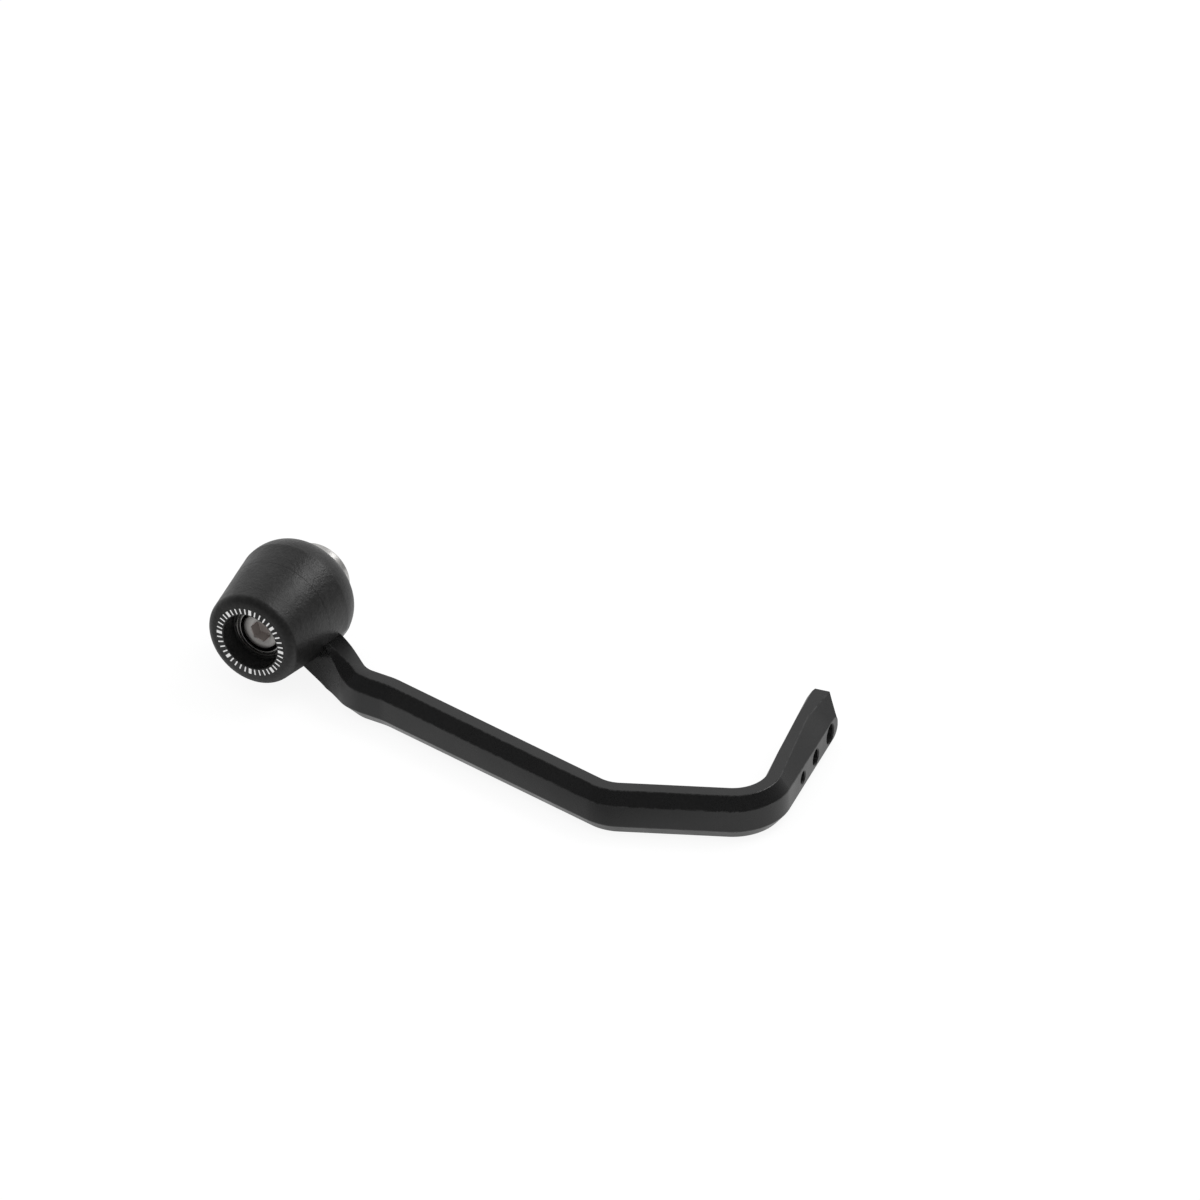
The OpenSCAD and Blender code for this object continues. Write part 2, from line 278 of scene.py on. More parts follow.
@dataclass(frozen=True)
class BarAxis:
    """The bar axis, along which distances s run inwards from the outer face."""

    face_x: float = 29.5

    def point(self, s: float, radius: float, angle: float) -> Point3:
        """Returns the point at distance s, a radius and an angle from straight up."""
        return (self.face_x - s, radius * math.sin(angle), radius * math.cos(angle))

    def lathe(self, name: str, profile: Sequence[Point2], segments: int = 192) -> bpy.types.Object:
        """Turns a closed profile of (s, radius) points about the bar axis.

        Args:
            name: name of the object.
            profile: corners of the section; a radius of zero is a pole.
            segments: number of steps round the axis.

        Returns:
            The turned solid.
        """
        count = len(profile)
        points = [self.point(s, r, math.tau * k / segments) for k in range(segments) for s, r in profile]
        faces = []
        for k in range(segments):
            here, there = k * count, ((k + 1) % segments) * count
            for i in range(count):
                j = (i + 1) % count
                if profile[i][1] <= 0 and profile[j][1] <= 0:
                    continue
                faces.append((here + i, here + j, there + j, there + i))
        return new_object(name, points, faces)

    def prism(self, name: str, outline: Sequence[Point2], x0: float, x1: float) -> bpy.types.Object:
        """Returns a prism along the bar axis from an outline of (y, z) points."""
        return extruded(name, outline, x0, x1, lambda y, z, x: (x, y, z))


AXIS = BarAxis()


def lookup(value: float, table: Sequence[Point2]) -> float:
    """Reads a value from a table of pairs, straight between its rows.

    Args:
        value: where the table is read.
        table: rows of position and value, in rising order.

    Returns:
        The value there, held level beyond both ends.
    """
    if value <= table[0][0]:
        return table[0][1]
    for (a, fa), (b, fb) in zip(table, table[1:]):
        if value <= b:
            return fa + (fb - fa) * (value - a) / (b - a)
    return table[-1][1]


# Node tools


class NodeGraph:
    """Short calls for building a node tree."""

    def __init__(self, tree: bpy.types.NodeTree) -> None:
        """Keeps the tree that nodes are added to."""
        self.tree = tree

    def add(self, kind: str, **settings: Any) -> bpy.types.Node:
        """Adds a node and sets its properties by name.

        Args:
            kind: type of the node.
            settings: its properties.

        Returns:
            The node.
        """
        node = self.tree.nodes.new(kind)
        for key, value in settings.items():
            setattr(node, key, value)
        return node

    def link(self, start: Any, end: Any) -> None:
        """Links an output to an input."""
        self.tree.links.new(start, end)

    def feed(self, socket: Any, value: Any) -> None:
        """Links a socket to an input, or writes a plain value on it.

        Args:
            socket: input of a node.
            value: output socket or plain value.
        """
        if isinstance(value, bpy.types.NodeSocket):
            self.link(value, socket)
        else:
            socket.default_value = value

    def math(self, operation: str, *values: Any, clamp: bool = False) -> Any:
        """Adds a math node.

        Args:
            operation: name of the math operation.
            values: sockets or numbers for its inputs.
            clamp: whether the result is held between 0 and 1.

        Returns:
            The output socket.
        """
        node = self.add("ShaderNodeMath", operation=operation, use_clamp=clamp)
        for socket, value in zip(node.inputs, values):
            self.feed(socket, value)
        return node.outputs[0]

    def times(self, first: Any, second: Any) -> Any:
        """Returns the product of two values."""
        return self.math("MULTIPLY", first, second)

    def plus(self, first: Any, second: Any) -> Any:
        """Returns the sum of two values."""
        return self.math("ADD", first, second)

    def minus(self, first: Any, second: Any) -> Any:
        """Returns the first value less the second."""
        return self.math("SUBTRACT", first, second)

    def over(self, first: Any, second: Any) -> Any:
        """Returns the first value divided by the second."""
        return self.math("DIVIDE", first, second)

    def split(self, vector: Any) -> Any:
        """Returns the X, Y and Z outputs of a vector."""
        node = self.add("ShaderNodeSeparateXYZ")
        self.link(vector, node.inputs[0])
        return node.outputs

    def join(self, x: Any = 0.0, y: Any = 0.0, z: Any = 0.0) -> Any:
        """Returns the vector of three values.

        Args:
            x: first value or socket.
            y: second one.
            z: third one.

        Returns:
            The vector socket.
        """
        node = self.add("ShaderNodeCombineXYZ")
        for socket, value in zip(node.inputs, (x, y, z)):
            self.feed(socket, value)
        return node.outputs[0]

    def here(self) -> Any:
        """Returns the place on the object that is shaded."""
        return self.add("ShaderNodeTexCoord").outputs["Object"]

    def off_axis(self, parts: Any) -> Any:
        """Returns the square of the distance from the bar axis, from the parts of a place."""
        return self.plus(self.times(parts["Y"], parts["Y"]), self.times(parts["Z"], parts["Z"]))

    def group(self, tree: bpy.types.NodeTree, values: dict[str, float]) -> Any:
        """Places a shared effect with its own values and returns its outputs.

        Args:
            tree: group of the effect.
            values: values of its inputs by name.

        Returns:
            Its outputs by name.
        """
        node = self.add("ShaderNodeGroup", node_tree=tree)
        for label, value in values.items():
            node.inputs[label].default_value = value
        return node.outputs

    def bump(self, height: Any, depth: float, normal: Any = None) -> Any:
        """Bends the normal by a height.

        Args:
            height: socket of the height.
            depth: its depth in metres.
            normal: socket of the normal that is bent, if not the surface's own.

        Returns:
            The socket of the bent normal.
        """
        node = self.add("ShaderNodeBump")
        node.inputs["Distance"].default_value = depth
        self.link(height, node.inputs["Height"])
        if normal is not None:
            self.link(normal, node.inputs["Normal"])
        return node.outputs[0]

    def ramp(self, value: Any, low: float, high: float, out_low: Any = 0.0, out_high: Any = 1.0) -> Any:
        """Maps a range smoothly onto another and clamps it.

        Args:
            value: socket that is mapped.
            low: value that gives out_low.
            high: value that gives out_high.
            out_low: result at the low end.
            out_high: result at the high end.

        Returns:
            The output socket.
        """
        node = self.add("ShaderNodeMapRange", interpolation_type="SMOOTHSTEP")
        for socket, number in zip(node.inputs[:5], (value, low, high, out_low, out_high)):
            self.feed(socket, number)
        return node.outputs[0]

    def noise(self, vector: Any, scale: Any, detail: float = 2.0, rough: float = 0.5) -> Any:
        """Returns the value output of a noise texture on a vector.

        Args:
            vector: place that is read.
            scale: cells per metre.
            detail: number of octaves.
            rough: share that each octave keeps.

        Returns:
            The socket of the value.
        """
        node = self.add("ShaderNodeTexNoise")
        self.link(vector, node.inputs["Vector"])
        self.feed(node.inputs["Scale"], scale)
        node.inputs["Detail"].default_value = detail
        node.inputs["Roughness"].default_value = rough
        return node.outputs["Fac"]

    def mix_color(self, factor: Any, first: Any, second: Any) -> Any:
        """Mixes two colours by a factor and returns the colour socket.

        Args:
            factor: 0 gives the first and 1 the second.
            first: colour or socket.
            second: colour or socket.

        Returns:
            The colour socket.
        """
        node = self.add("ShaderNodeMix", data_type="RGBA")
        self.feed(node.inputs[0], factor)
        self.feed(node.inputs[6], first)
        self.feed(node.inputs[7], second)
        return node.outputs[2]

    def stretched(self, vector: Any, scale: Point3) -> Any:
        """Returns a vector scaled by an amount for each axis.

        Args:
            vector: socket that is scaled.
            scale: amount along X, Y and Z.

        Returns:
            The scaled vector.
        """
        node = self.add("ShaderNodeMapping")
        self.link(vector, node.inputs["Vector"])
        node.inputs["Scale"].default_value = scale
        return node.outputs["Vector"]


def grey(value: float) -> tuple[float, float, float, float]:
    """Returns a neutral colour of one brightness."""
    return (value, value, value, 1.0)


class SharedEffects:
    """Shader node groups that several finishes use, each built once."""

    def __init__(self) -> None:
        """Builds the groups."""
        self.grain = self.build_grain()
        self.smudge = self.build_smudge()
        self.turning = self.build_turning()
        self.wear_and_highlight = self.build_wear_and_highlight()

    @staticmethod
    def start(name: str, inputs: Sequence[tuple[str, float]],
              outputs: Sequence[str]) -> tuple[Any, NodeGraph, Any, Any]:
        """Makes an empty shader group.

        Args:
            name: name of the group.
            inputs: names and default values of its number inputs.
            outputs: names of its number outputs.

        Returns:
            The group, a graph on it, and its input and output nodes.
        """
        tree = bpy.data.node_groups.new(name, "ShaderNodeTree")
        for label, value in inputs:
            socket = tree.interface.new_socket(label, in_out="INPUT", socket_type="NodeSocketFloat")
            socket.default_value = value
        for label in outputs:
            tree.interface.new_socket(label, in_out="OUTPUT", socket_type="NodeSocketFloat")
        graph = NodeGraph(tree)
        return tree, graph, graph.add("NodeGroupInput"), graph.add("NodeGroupOutput")

    def build_grain(self) -> bpy.types.NodeTree:
        """Returns the group for a fine pebbled or blasted grain."""
        inputs = [("Cells per metre", 4000.0), ("Mottle", 0.8)]
        tree, g, ins, outs = self.start("grain", inputs, ["Height", "Tone"])
        here, per_metre = g.here(), ins.outputs["Cells per metre"]
        cells = g.add("ShaderNodeTexVoronoi", feature="SMOOTH_F1")
        g.link(here, cells.inputs["Vector"])
        g.link(per_metre, cells.inputs["Scale"])
        fine = g.noise(here, g.times(per_metre, 1.7), 3.0, 0.6)
        coarse = g.noise(here, g.times(per_metre, 0.3), 3.0, 0.6)
        height = g.plus(g.times(cells.outputs["Distance"], 0.6), g.times(fine, 0.5))
        g.link(g.plus(height, g.times(coarse, ins.outputs["Mottle"])), outs.inputs["Height"])
        g.link(g.ramp(coarse, 0.35, 0.65), outs.inputs["Tone"])
        return tree

    def build_smudge(self) -> bpy.types.NodeTree:
        """Returns the group for handling marks, large and soft with fine scuffs."""
        inputs = [("Patches per metre", 90.0), ("Scuff amount", 0.3)]
        tree, g, ins, outs = self.start("smudge", inputs, ["Patch", "Scuff"])
        here = g.here()
        patch = g.noise(here, ins.outputs["Patches per metre"], 4.0, 0.55)
        lines = g.noise(g.stretched(here, (0.25, 1.0, 0.5)), 2600.0, 2.0, 0.5)
        scuff = g.times(g.ramp(lines, 0.62, 0.72), g.ramp(patch, 0.45, 0.6))
        g.link(g.ramp(patch, 0.3, 0.7), outs.inputs["Patch"])
        g.link(g.times(scuff, ins.outputs["Scuff amount"]), outs.inputs["Scuff"])
        return tree

    def build_turning(self) -> bpy.types.NodeTree:
        """Returns the group for the fine rings that a lathe leaves about the bar axis."""
        inputs = [("Rings per metre", 9000.0), ("Rings on end faces", 6500.0)]
        tree, g, ins, outs = self.start("turning", inputs, ["Height", "Tone"])
        parts = g.split(g.here())
        along = g.times(parts["X"], ins.outputs["Rings per metre"])
        across = g.times(g.math("SQRT", g.off_axis(parts)), ins.outputs["Rings on end faces"])
        rings = g.join(along, across)
        lines = g.noise(rings, 1.0, 2.0, 0.6)
        broad = g.noise(rings, 0.12, 2.0, 0.5)
        g.link(g.plus(lines, g.times(broad, 0.5)), outs.inputs["Height"])
        g.link(g.ramp(broad, 0.35, 0.65), outs.inputs["Tone"])
        return tree

    def build_wear_and_highlight(self) -> bpy.types.NodeTree:
        """Returns the group for lighter rounded edges, partly rubbed and partly a painted edge highlight, read
        from the edge attribute of a piece.
        """
        inputs = [("Amount", 0.5), ("Breaks per metre", 700.0)]
        tree, g, ins, outs = self.start("edge_wear_and_highlight", inputs, ["Worn"])
        mark = g.add("ShaderNodeAttribute", attribute_name="edge", attribute_type="GEOMETRY").outputs["Fac"]
        broken = g.ramp(g.noise(g.here(), ins.outputs["Breaks per metre"], 4.0, 0.65), 0.4, 0.62)
        g.link(g.times(g.times(mark, broken), ins.outputs["Amount"]), outs.inputs["Worn"])
        return tree


@dataclass(frozen=True)
class Finish:
    """One procedural finish.

    Attributes:
        name: name of the material.
        slot: material slot of the record; not used.
        tone: darker and lighter base brightness.
        tint: colour that the brightness is multiplied by.
        rough: lower and upper roughness.
        metallic: 1 for bare metal, 0 for nylon and dyed oxide.
        ior: index of refraction.
        grain: cells per metre of the surface grain.
        grain_depth: depth of that grain in millimetres.
        turning: rings per metre where the piece is turned, or 0.
        turning_depth: depth of those rings in millimetres.
        wear_and_highlight: strength of the lighter band on rounded edges, partly rubbed and partly a painted
            edge highlight.
        worn_and_highlight_tone: brightness of that band of rubbing and painted highlight.
        mottle: strength of the coarser unevenness in the grain.
        socket: radius, lowest X, highest X in millimetres and brightness of a dull socket.
        scuff: strength of fine scuffs.
    """

    name: str
    slot: Slot
    tone: Point2
    tint: Point3
    rough: Point2
    metallic: float = 0.0
    ior: float = 1.5
    grain: float = 4000.0
    grain_depth: float = 0.01
    turning: float = 0.0
    turning_depth: float = 0.004
    wear_and_highlight: float = 0.0
    worn_and_highlight_tone: float = 0.3
    mottle: float = 0.8
    scuff: float = 0.2
    socket: tuple[float, float, float, float] | None = None

    SOCKET_TINT = (1.0, 0.89, 0.84)
    SOCKET_ROUGH = 0.6
    RING_ROUGH = 0.06
    SCUFF_LIGHT = 1.6
    SCUFF_ROUGH = 0.2

    def color(self, brightness: float) -> tuple[float, float, float, float]:
        """Returns the tinted colour of a brightness."""
        r, g, b = self.tint
        return (brightness * r, brightness * g, brightness * b, 1.0)

    @staticmethod
    def inside(g: NodeGraph, radius: float, low: float, high: float) -> Any:
        """Returns 1 inside a stretch of the bar axis and 0 outside it.

        Args:
            g: graph of the material.
            radius: reach from the axis in metres.
            low: lowest X in metres.
            high: highest X in metres.

        Returns:
            The mask socket.
        """
        parts = g.split(g.here())
        near = g.math("LESS_THAN", g.off_axis(parts), radius * radius)
        past_low, below_high = g.math("GREATER_THAN", parts["X"], low), g.math("LESS_THAN", parts["X"], high)
        return g.times(near, g.times(past_low, below_high))

    def build(self, shared: SharedEffects) -> bpy.types.Material:
        """Builds the material from the shared effects.

        Args:
            shared: the node groups.

        Returns:
            The new material.
        """
        mat = bpy.data.materials.new(self.name)
        mat.use_nodes = True
        g = NodeGraph(mat.node_tree)
        shader = mat.node_tree.nodes["Principled BSDF"]
        shader.inputs["Metallic"].default_value = self.metallic
        shader.inputs["IOR"].default_value = self.ior
        grain = g.group(shared.grain, {"Cells per metre": self.grain, "Mottle": self.mottle})
        smudge = g.group(shared.smudge, {"Scuff amount": self.scuff})
        base = g.mix_color(grain["Tone"], self.color(self.tone[0]), self.color(self.tone[1]))
        rough = g.ramp(smudge["Patch"], 0.0, 1.0, self.rough[0], self.rough[1])
        normal = g.bump(grain["Height"], self.grain_depth * MM)
        if self.turning:
            turned = g.group(shared.turning, {"Rings per metre": self.turning})
            normal = g.bump(turned["Height"], self.turning_depth * MM, normal)
            rough = g.plus(rough, g.times(turned["Tone"], self.RING_ROUGH))
        # rounded edges made lighter: partly rubbed, partly a painted edge highlight
        if self.wear_and_highlight:
            worn_and_highlit = g.group(shared.wear_and_highlight, {"Amount": self.wear_and_highlight})
            base = g.mix_color(worn_and_highlit["Worn"], base, grey(self.worn_and_highlight_tone))
        if self.socket:
            radius, low, high, dull = self.socket
            deep = self.inside(g, radius * MM, low * MM, high * MM)
            red, green, blue = self.SOCKET_TINT
            base = g.mix_color(deep, base, (dull * red, dull * green, dull * blue, 1.0))
            rough = g.ramp(deep, 0.0, 1.0, rough, self.SOCKET_ROUGH)
            g.link(g.minus(self.metallic, deep), shader.inputs["Metallic"])
        scuffed = g.mix_color(smudge["Scuff"], base, self.color(self.tone[1] * self.SCUFF_LIGHT))
        g.link(scuffed, shader.inputs["Base Color"])
        marked = g.math("ADD", rough, g.times(smudge["Scuff"], self.SCUFF_ROUGH), clamp=True)
        g.link(marked, shader.inputs["Roughness"])
        g.link(normal, shader.inputs["Normal"])
        return mat


NYLON = Finish("moulded_nylon", Slot.NYLON, (0.0125, 0.0175), (1.0, 0.99, 0.985), (0.34, 0.44),
               ior=1.52, grain=3200.0, grain_depth=0.06, mottle=1.8, scuff=0.3)
ANODISED = Finish("black_anodised", Slot.ANODISED, (0.0105, 0.0135), (1.0, 1.0, 1.02), (0.26, 0.34),
                  ior=1.48, grain=7000.0, grain_depth=0.004, wear_and_highlight=0.25, worn_and_highlight_tone=0.09, mottle=1.0, scuff=0.12)
TURNED = Finish("turned_steel", Slot.TURNED, (0.55, 0.66), (1.0, 0.985, 0.96), (0.22, 0.32), 1.0,
                grain=6000.0, grain_depth=0.001, turning=9000.0, turning_depth=0.002, scuff=0.15)
SPRING = Finish("stamped_spring_steel", Slot.SPRING, (0.42, 0.52), (1.0, 0.98, 0.95), (0.3, 0.42), 1.0,
                grain=5000.0, grain_depth=0.002, scuff=0.2)
SCREW = Finish("screw_steel", Slot.SCREW, (0.60, 0.68), (1.0, 0.975, 0.945), (0.3, 0.38), 1.0,
               grain=5000.0, grain_depth=0.001, turning=4000.0, turning_depth=0.001, scuff=0.1,
               socket=(2.95, 19.0, 24.2, 0.38))
INK = Finish("printed_white", Slot.NYLON, (0.86, 0.92), (1.0, 1.0, 0.995), (0.45, 0.6),
             grain=7000.0, grain_depth=0.003, mottle=0.5, scuff=0.0)


@dataclass
class Workshop:
    """What every sub-assembly needs: the shader groups and the built materials.

    Attributes:
        shared: the shader groups.
        materials: one material for each finish that was asked for.
    """

    shared: SharedEffects
    materials: dict[str, bpy.types.Material] = field(default_factory=dict)

    def material(self, finish: Finish) -> bpy.types.Material:
        """Returns the material of a finish, built once.

        Args:
            finish: the finish.

        Returns:
            Its material.
        """
        if finish.name not in self.materials:
            self.materials[finish.name] = finish.build(self.shared)
        return self.materials[finish.name]

    def dress(self, obj: bpy.types.Object, finish: Finish, *nodes: str) -> bpy.types.Object:
        """Gives a piece its finish and its body, and hides the CAD nodes that it stands for.

        Args:
            obj: finished piece.
            finish: finish of the whole piece.
            nodes: CAD nodes that the piece replaces.

        Returns:
            The same piece.
        """
        obj.data.materials.clear()
        obj.data.materials.append(self.material(finish))
        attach(obj, BODY)
        if nodes:
            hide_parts(*nodes)
        LOG.info("piece %s: %d faces, finish %s", obj.name, len(obj.data.polygons), finish.name)
        return obj


class GeometryTree(NodeGraph):
    """A Geometry Nodes tree with named inputs, run on an empty mesh."""

    def __init__(self, name: str, sizes: dict[str, float], counts: dict[str, int]) -> None:
        """Makes the tree with its inputs.

        Args:
            name: name of the tree.
            sizes: lengths in metres, or plain ratios, by input name.
            counts: whole numbers by input name.
        """
        tree = bpy.data.node_groups.new(name, "GeometryNodeTree")
        super().__init__(tree)
        tree.interface.new_socket("Geometry", in_out="INPUT", socket_type="NodeSocketGeometry")
        self.values: dict[str, float | int] = {**sizes, **counts}
        self.keys: dict[str, str] = {}
        kinds = [(label, "Float") for label in sizes] + [(label, "Int") for label in counts]
        for label, kind in kinds + [("Finish", "Material")]:
            socket = tree.interface.new_socket(label, in_out="INPUT", socket_type=f"NodeSocket{kind}")
            self.keys[label] = socket.identifier
        tree.interface.new_socket("Geometry", in_out="OUTPUT", socket_type="NodeSocketGeometry")
        self.ins = self.add("NodeGroupInput")
        self.outs = self.add("NodeGroupOutput")

    def size(self, label: str) -> Any:
        """Returns the socket of a named input."""
        return self.ins.outputs[label]

    def end(self, geometry: Any, smooth: bool = True) -> None:
        """Ends the tree with real geometry that has its material.

        Args:
            geometry: socket with the finished shape.
            smooth: whether its faces are shaded smooth.
        """
        real = self.add("GeometryNodeRealizeInstances")
        self.link(geometry, real.inputs["Geometry"])
        shade = self.add("GeometryNodeSetShadeSmooth")
        self.link(real.outputs[0], shade.inputs["Geometry"])
        shade.inputs["Shade Smooth"].default_value = smooth
        paint = self.add("GeometryNodeSetMaterial")
        self.link(shade.outputs[0], paint.inputs["Geometry"])
        self.link(self.ins.outputs["Finish"], paint.inputs["Material"])
        self.link(paint.outputs[0], self.outs.inputs[0])

    def run(self, name: str, material: bpy.types.Material) -> bpy.types.Object:
        """Runs the tree and keeps its result as a plain mesh.

        Args:
            name: name of the new object.
            material: material that the tree sets.

        Returns:
            The object with the made mesh and no modifier.
        """
        obj = bpy.data.objects.new(name, bpy.data.meshes.new(name))
        bpy.context.scene.collection.objects.link(obj)
        mod = obj.modifiers.new(self.tree.name, "NODES")
        mod.node_group = self.tree
        for label, value in self.values.items():
            mod[self.keys[label]] = value
        mod[self.keys["Finish"]] = material
        return baked(obj)

    def on_bar_axis(self, geometry: Any, x: Any) -> Any:
        """Turns a shape built round Z into place round the bar axis.

        Args:
            geometry: socket with a shape whose Z points outwards.
            x: socket or number with its place along X, in metres.

        Returns:
            The socket of the placed shape.
        """
        move = self.add("GeometryNodeTransform")
        self.link(geometry, move.inputs["Geometry"])
        self.link(self.join(x), move.inputs["Translation"])
        move.inputs["Rotation"].default_value = (0.0, math.pi / 2, 0.0)
        return move.outputs[0]

    def sheet(self, across: Any, along: Any) -> tuple[Any, Any, Any]:
        """Lays a flat grid whose places run from 0 to 1 both ways.

        Args:
            across: number of corners along X.
            along: number of corners along Y.

        Returns:
            The sockets of the grid and of both places.
        """
        grid = self.add("GeometryNodeMeshGrid")
        for label, value in (("Size X", 1.0), ("Size Y", 1.0), ("Vertices X", across), ("Vertices Y", along)):
            self.feed(grid.inputs[label], value)
        parts = self.split(self.add("GeometryNodeInputPosition").outputs[0])
        return grid.outputs[0], self.plus(parts["X"], 0.5), self.plus(parts["Y"], 0.5)

    def rolled(self, sheet: Any, radius: Any, turn: Any, height: Any) -> Any:
        """Rolls a sheet up round Z and welds its edges.

        Args:
            sheet: socket of the grid.
            radius: distance of each corner from Z.
            turn: its angle round Z.
            height: its place along Z.

        Returns:
            The socket of the closed shape.
        """
        x, y = self.times(radius, self.math("COSINE", turn)), self.times(radius, self.math("SINE", turn))
        bent = self.add("GeometryNodeSetPosition")
        self.link(sheet, bent.inputs["Geometry"])
        self.link(self.join(x, y, height), bent.inputs["Position"])
        closed = self.add("GeometryNodeMergeByDistance")
        closed.inputs["Distance"].default_value = WELD_M
        self.link(bent.outputs[0], closed.inputs["Geometry"])
        return closed.outputs[0]


# Sub-assemblies


@dataclass
class NylonBobbin:
    """The two nylon halves and the printed ring of ticks.

    Attributes:
        length: outer face to inner end.
        inner_length: seam to inner end.
        cone_front: radius where the front rounding meets the cone.
        cone_rear: radius where the rear shoulder begins.
        shoulder: length of the rear shoulder.
        inner_end: radius of the flat inner end.
        face_round: radius of the front rounding.
        seam_edge: edge break at the seam.
        counterbore: radius of the counterbore.
        counterbore_depth: its depth.
        bore: radius of the bore on the sleeve.
        pocket: radius of the hub's pocket.
        pocket_depth: its depth.
        collar: radius of the recess for the collar.
        collar_depth: its depth.
        gap: clearance round the blade.
        steps: steps round the axis.
    """

    length: float = 29.0
    inner_length: float = 14.36
    cone_front: float = 12.785
    cone_rear: float = 15.642
    shoulder: float = 7.35
    inner_end: float = 11.5
    face_round: float = 2.3
    seam_edge: float = 0.07
    counterbore: float = 7.74
    counterbore_depth: float = 5.34
    bore: float = 6.55
    pocket: float = 12.32
    pocket_depth: float = 10.0
    collar: float = 9.62
    collar_depth: float = 1.5
    gap: float = 0.08
    steps: int = 256

    @property
    def seam(self) -> float:
        """Distance of the seam from the outer face."""
        return self.length - self.inner_length

    @property
    def slope(self) -> float:
        """Rise of the cone's radius along its length."""
        return (self.cone_rear - self.cone_front) / (self.length - self.shoulder - self.face_round)

    def cone(self, s: float) -> float:
        """Returns the cone's radius at distance s."""
        return self.cone_rear + (s - self.length + self.shoulder) * self.slope

    def front_arc(self, steps: int = 14) -> list[Point2]:
        """Returns the rounding between the outer face and the cone.

        Args:
            steps: steps of the curve.

        Returns:
            Points from the face to the cone.
        """
        lean = math.atan(self.slope)
        centre = self.cone(self.face_round) - self.face_round / math.cos(lean)
        turns = [(math.pi / 2 - lean) * i / steps for i in range(steps + 1)]
        return [(self.face_round * (1 - math.cos(a)), centre + self.face_round * math.sin(a)) for a in turns]

    def rear_arc(self, steps: int = 36) -> list[Point2]:
        """Returns the shoulder from the cone to the flat inner end.

        Args:
            steps: steps of the curve.

        Returns:
            Points from the cone to the end.
        """
        start = self.length - self.shoulder
        turns = [math.pi / 2 * i / steps for i in range(steps + 1)]
        rise = self.cone_rear - self.inner_end
        return [(start + self.shoulder * math.sin(a), self.inner_end + rise * math.cos(a)) for a in turns]

    def outside(self, s: float) -> float:
        """Returns the outer radius at distance s, behind the front rounding.

        Args:
            s: distance from the outer face.

        Returns:
            The radius.
        """
        past = (s - self.length) / self.shoulder + 1
        if past <= 0:
            return self.cone(s)
        return self.inner_end + (self.cone_rear - self.inner_end) * math.sqrt(max(0.0, 1 - past ** 2))

    def outer_half(self, blade: GuardBlade) -> bpy.types.Object:
        """Builds the half with the outer face, relieved for the blade.

        Args:
            blade: blade that it is relieved for.

        Returns:
            The outer half.
        """
        seam_r = self.cone(self.seam)
        inside = rounded([
            (self.seam, seam_r, self.seam_edge), (self.seam, self.bore, 0.25),
            (self.counterbore_depth, self.bore, 0.2), (self.counterbore_depth, self.counterbore, 0.35),
            (0.0, self.counterbore, 0.3), (0.0, self.front_arc()[0][1], 0.0)])
        profile = self.front_arc() + inside[:-1]
        half = AXIS.lathe("nylon_outer_half", profile, self.steps)
        return combine(half, [blade.bar("relief", self.gap)], Cut.MINUS)

    def inner_half(self, blade: GuardBlade) -> bpy.types.Object:
        """Builds the half with the domed shoulder, its pocket and its window.

        Args:
            blade: blade that passes the window.

        Returns:
            The inner half.
        """
        seat = self.length - self.collar_depth
        floor = self.seam + self.pocket_depth
        inside = rounded([
            (self.length, self.inner_end, 0.25), (self.length, self.collar, 0.25), (seat, self.collar, 0.2),
            (seat, self.bore, 0.2), (floor, self.bore, 0.2), (floor, self.pocket, 0.3),
            (self.seam, self.pocket, 0.2), (self.seam, self.cone(self.seam), self.seam_edge),
            (self.length - self.shoulder, self.cone_rear, 0.0)])
        profile = self.rear_arc()[:-1] + inside[:-1]
        half = AXIS.lathe("nylon_inner_half", profile, self.steps)
        return combine(half, [blade.window(self.gap)], Cut.MINUS)

    def tick_tree(self) -> GeometryTree:
        """Builds the tree of the printed ticks on the outer face."""
        tree = GeometryTree(
            "printed_ticks",
            {"Middle radius": 8.85 * MM, "Tick length": 1.5 * MM, "Tick width": 0.36 * MM,
             "Wide tick width": 0.8 * MM, "Ink thickness": 0.03 * MM, "Face X": AXIS.face_x * MM},
            {"Ticks": 40, "Wide tick every": 5})
        ring = tree.add("GeometryNodeMeshCircle")
        tree.link(tree.size("Ticks"), ring.inputs["Vertices"])
        tree.link(tree.size("Middle radius"), ring.inputs["Radius"])
        index = tree.add("GeometryNodeInputIndex").outputs[0]
        wide = tree.math("LESS_THAN", tree.math("MODULO", index, tree.size("Wide tick every")), 0.5)
        span = tree.minus(tree.size("Wide tick width"), tree.size("Tick width"))
        width = tree.plus(tree.size("Tick width"), tree.times(wide, span))
        bar = tree.add("GeometryNodeMeshCube")
        tree.link(tree.join(tree.size("Tick length"), MM, tree.size("Ink thickness")), bar.inputs["Size"])
        turn = tree.times(index, tree.over(math.tau, tree.size("Ticks")))
        put = tree.add("GeometryNodeInstanceOnPoints")
        tree.link(ring.outputs[0], put.inputs["Points"])
        tree.link(bar.outputs[0], put.inputs["Instance"])
        tree.link(tree.join(z=turn), put.inputs["Rotation"])
        tree.link(tree.join(1.0, tree.over(width, MM), 1.0), put.inputs["Scale"])
        lift = tree.math("MULTIPLY_ADD", tree.size("Ink thickness"), 0.3, tree.size("Face X"))
        tree.end(tree.on_bar_axis(put.outputs[0], lift), smooth=False)
        return tree

    def build(self, shop: Workshop, blade: GuardBlade) -> None:
        """Builds and dresses the halves and the ticks.

        Args:
            shop: materials.
            blade: blade that they hold.
        """
        for half, node in ((self.outer_half(blade), "bobbin_outer"), (self.inner_half(blade), "bobbin_inner")):
            finish_shading(half)
            shop.dress(half, NYLON, node)
        ticks = self.tick_tree().run("printed_tick_ring", shop.material(INK))
        shop.dress(ticks, INK)


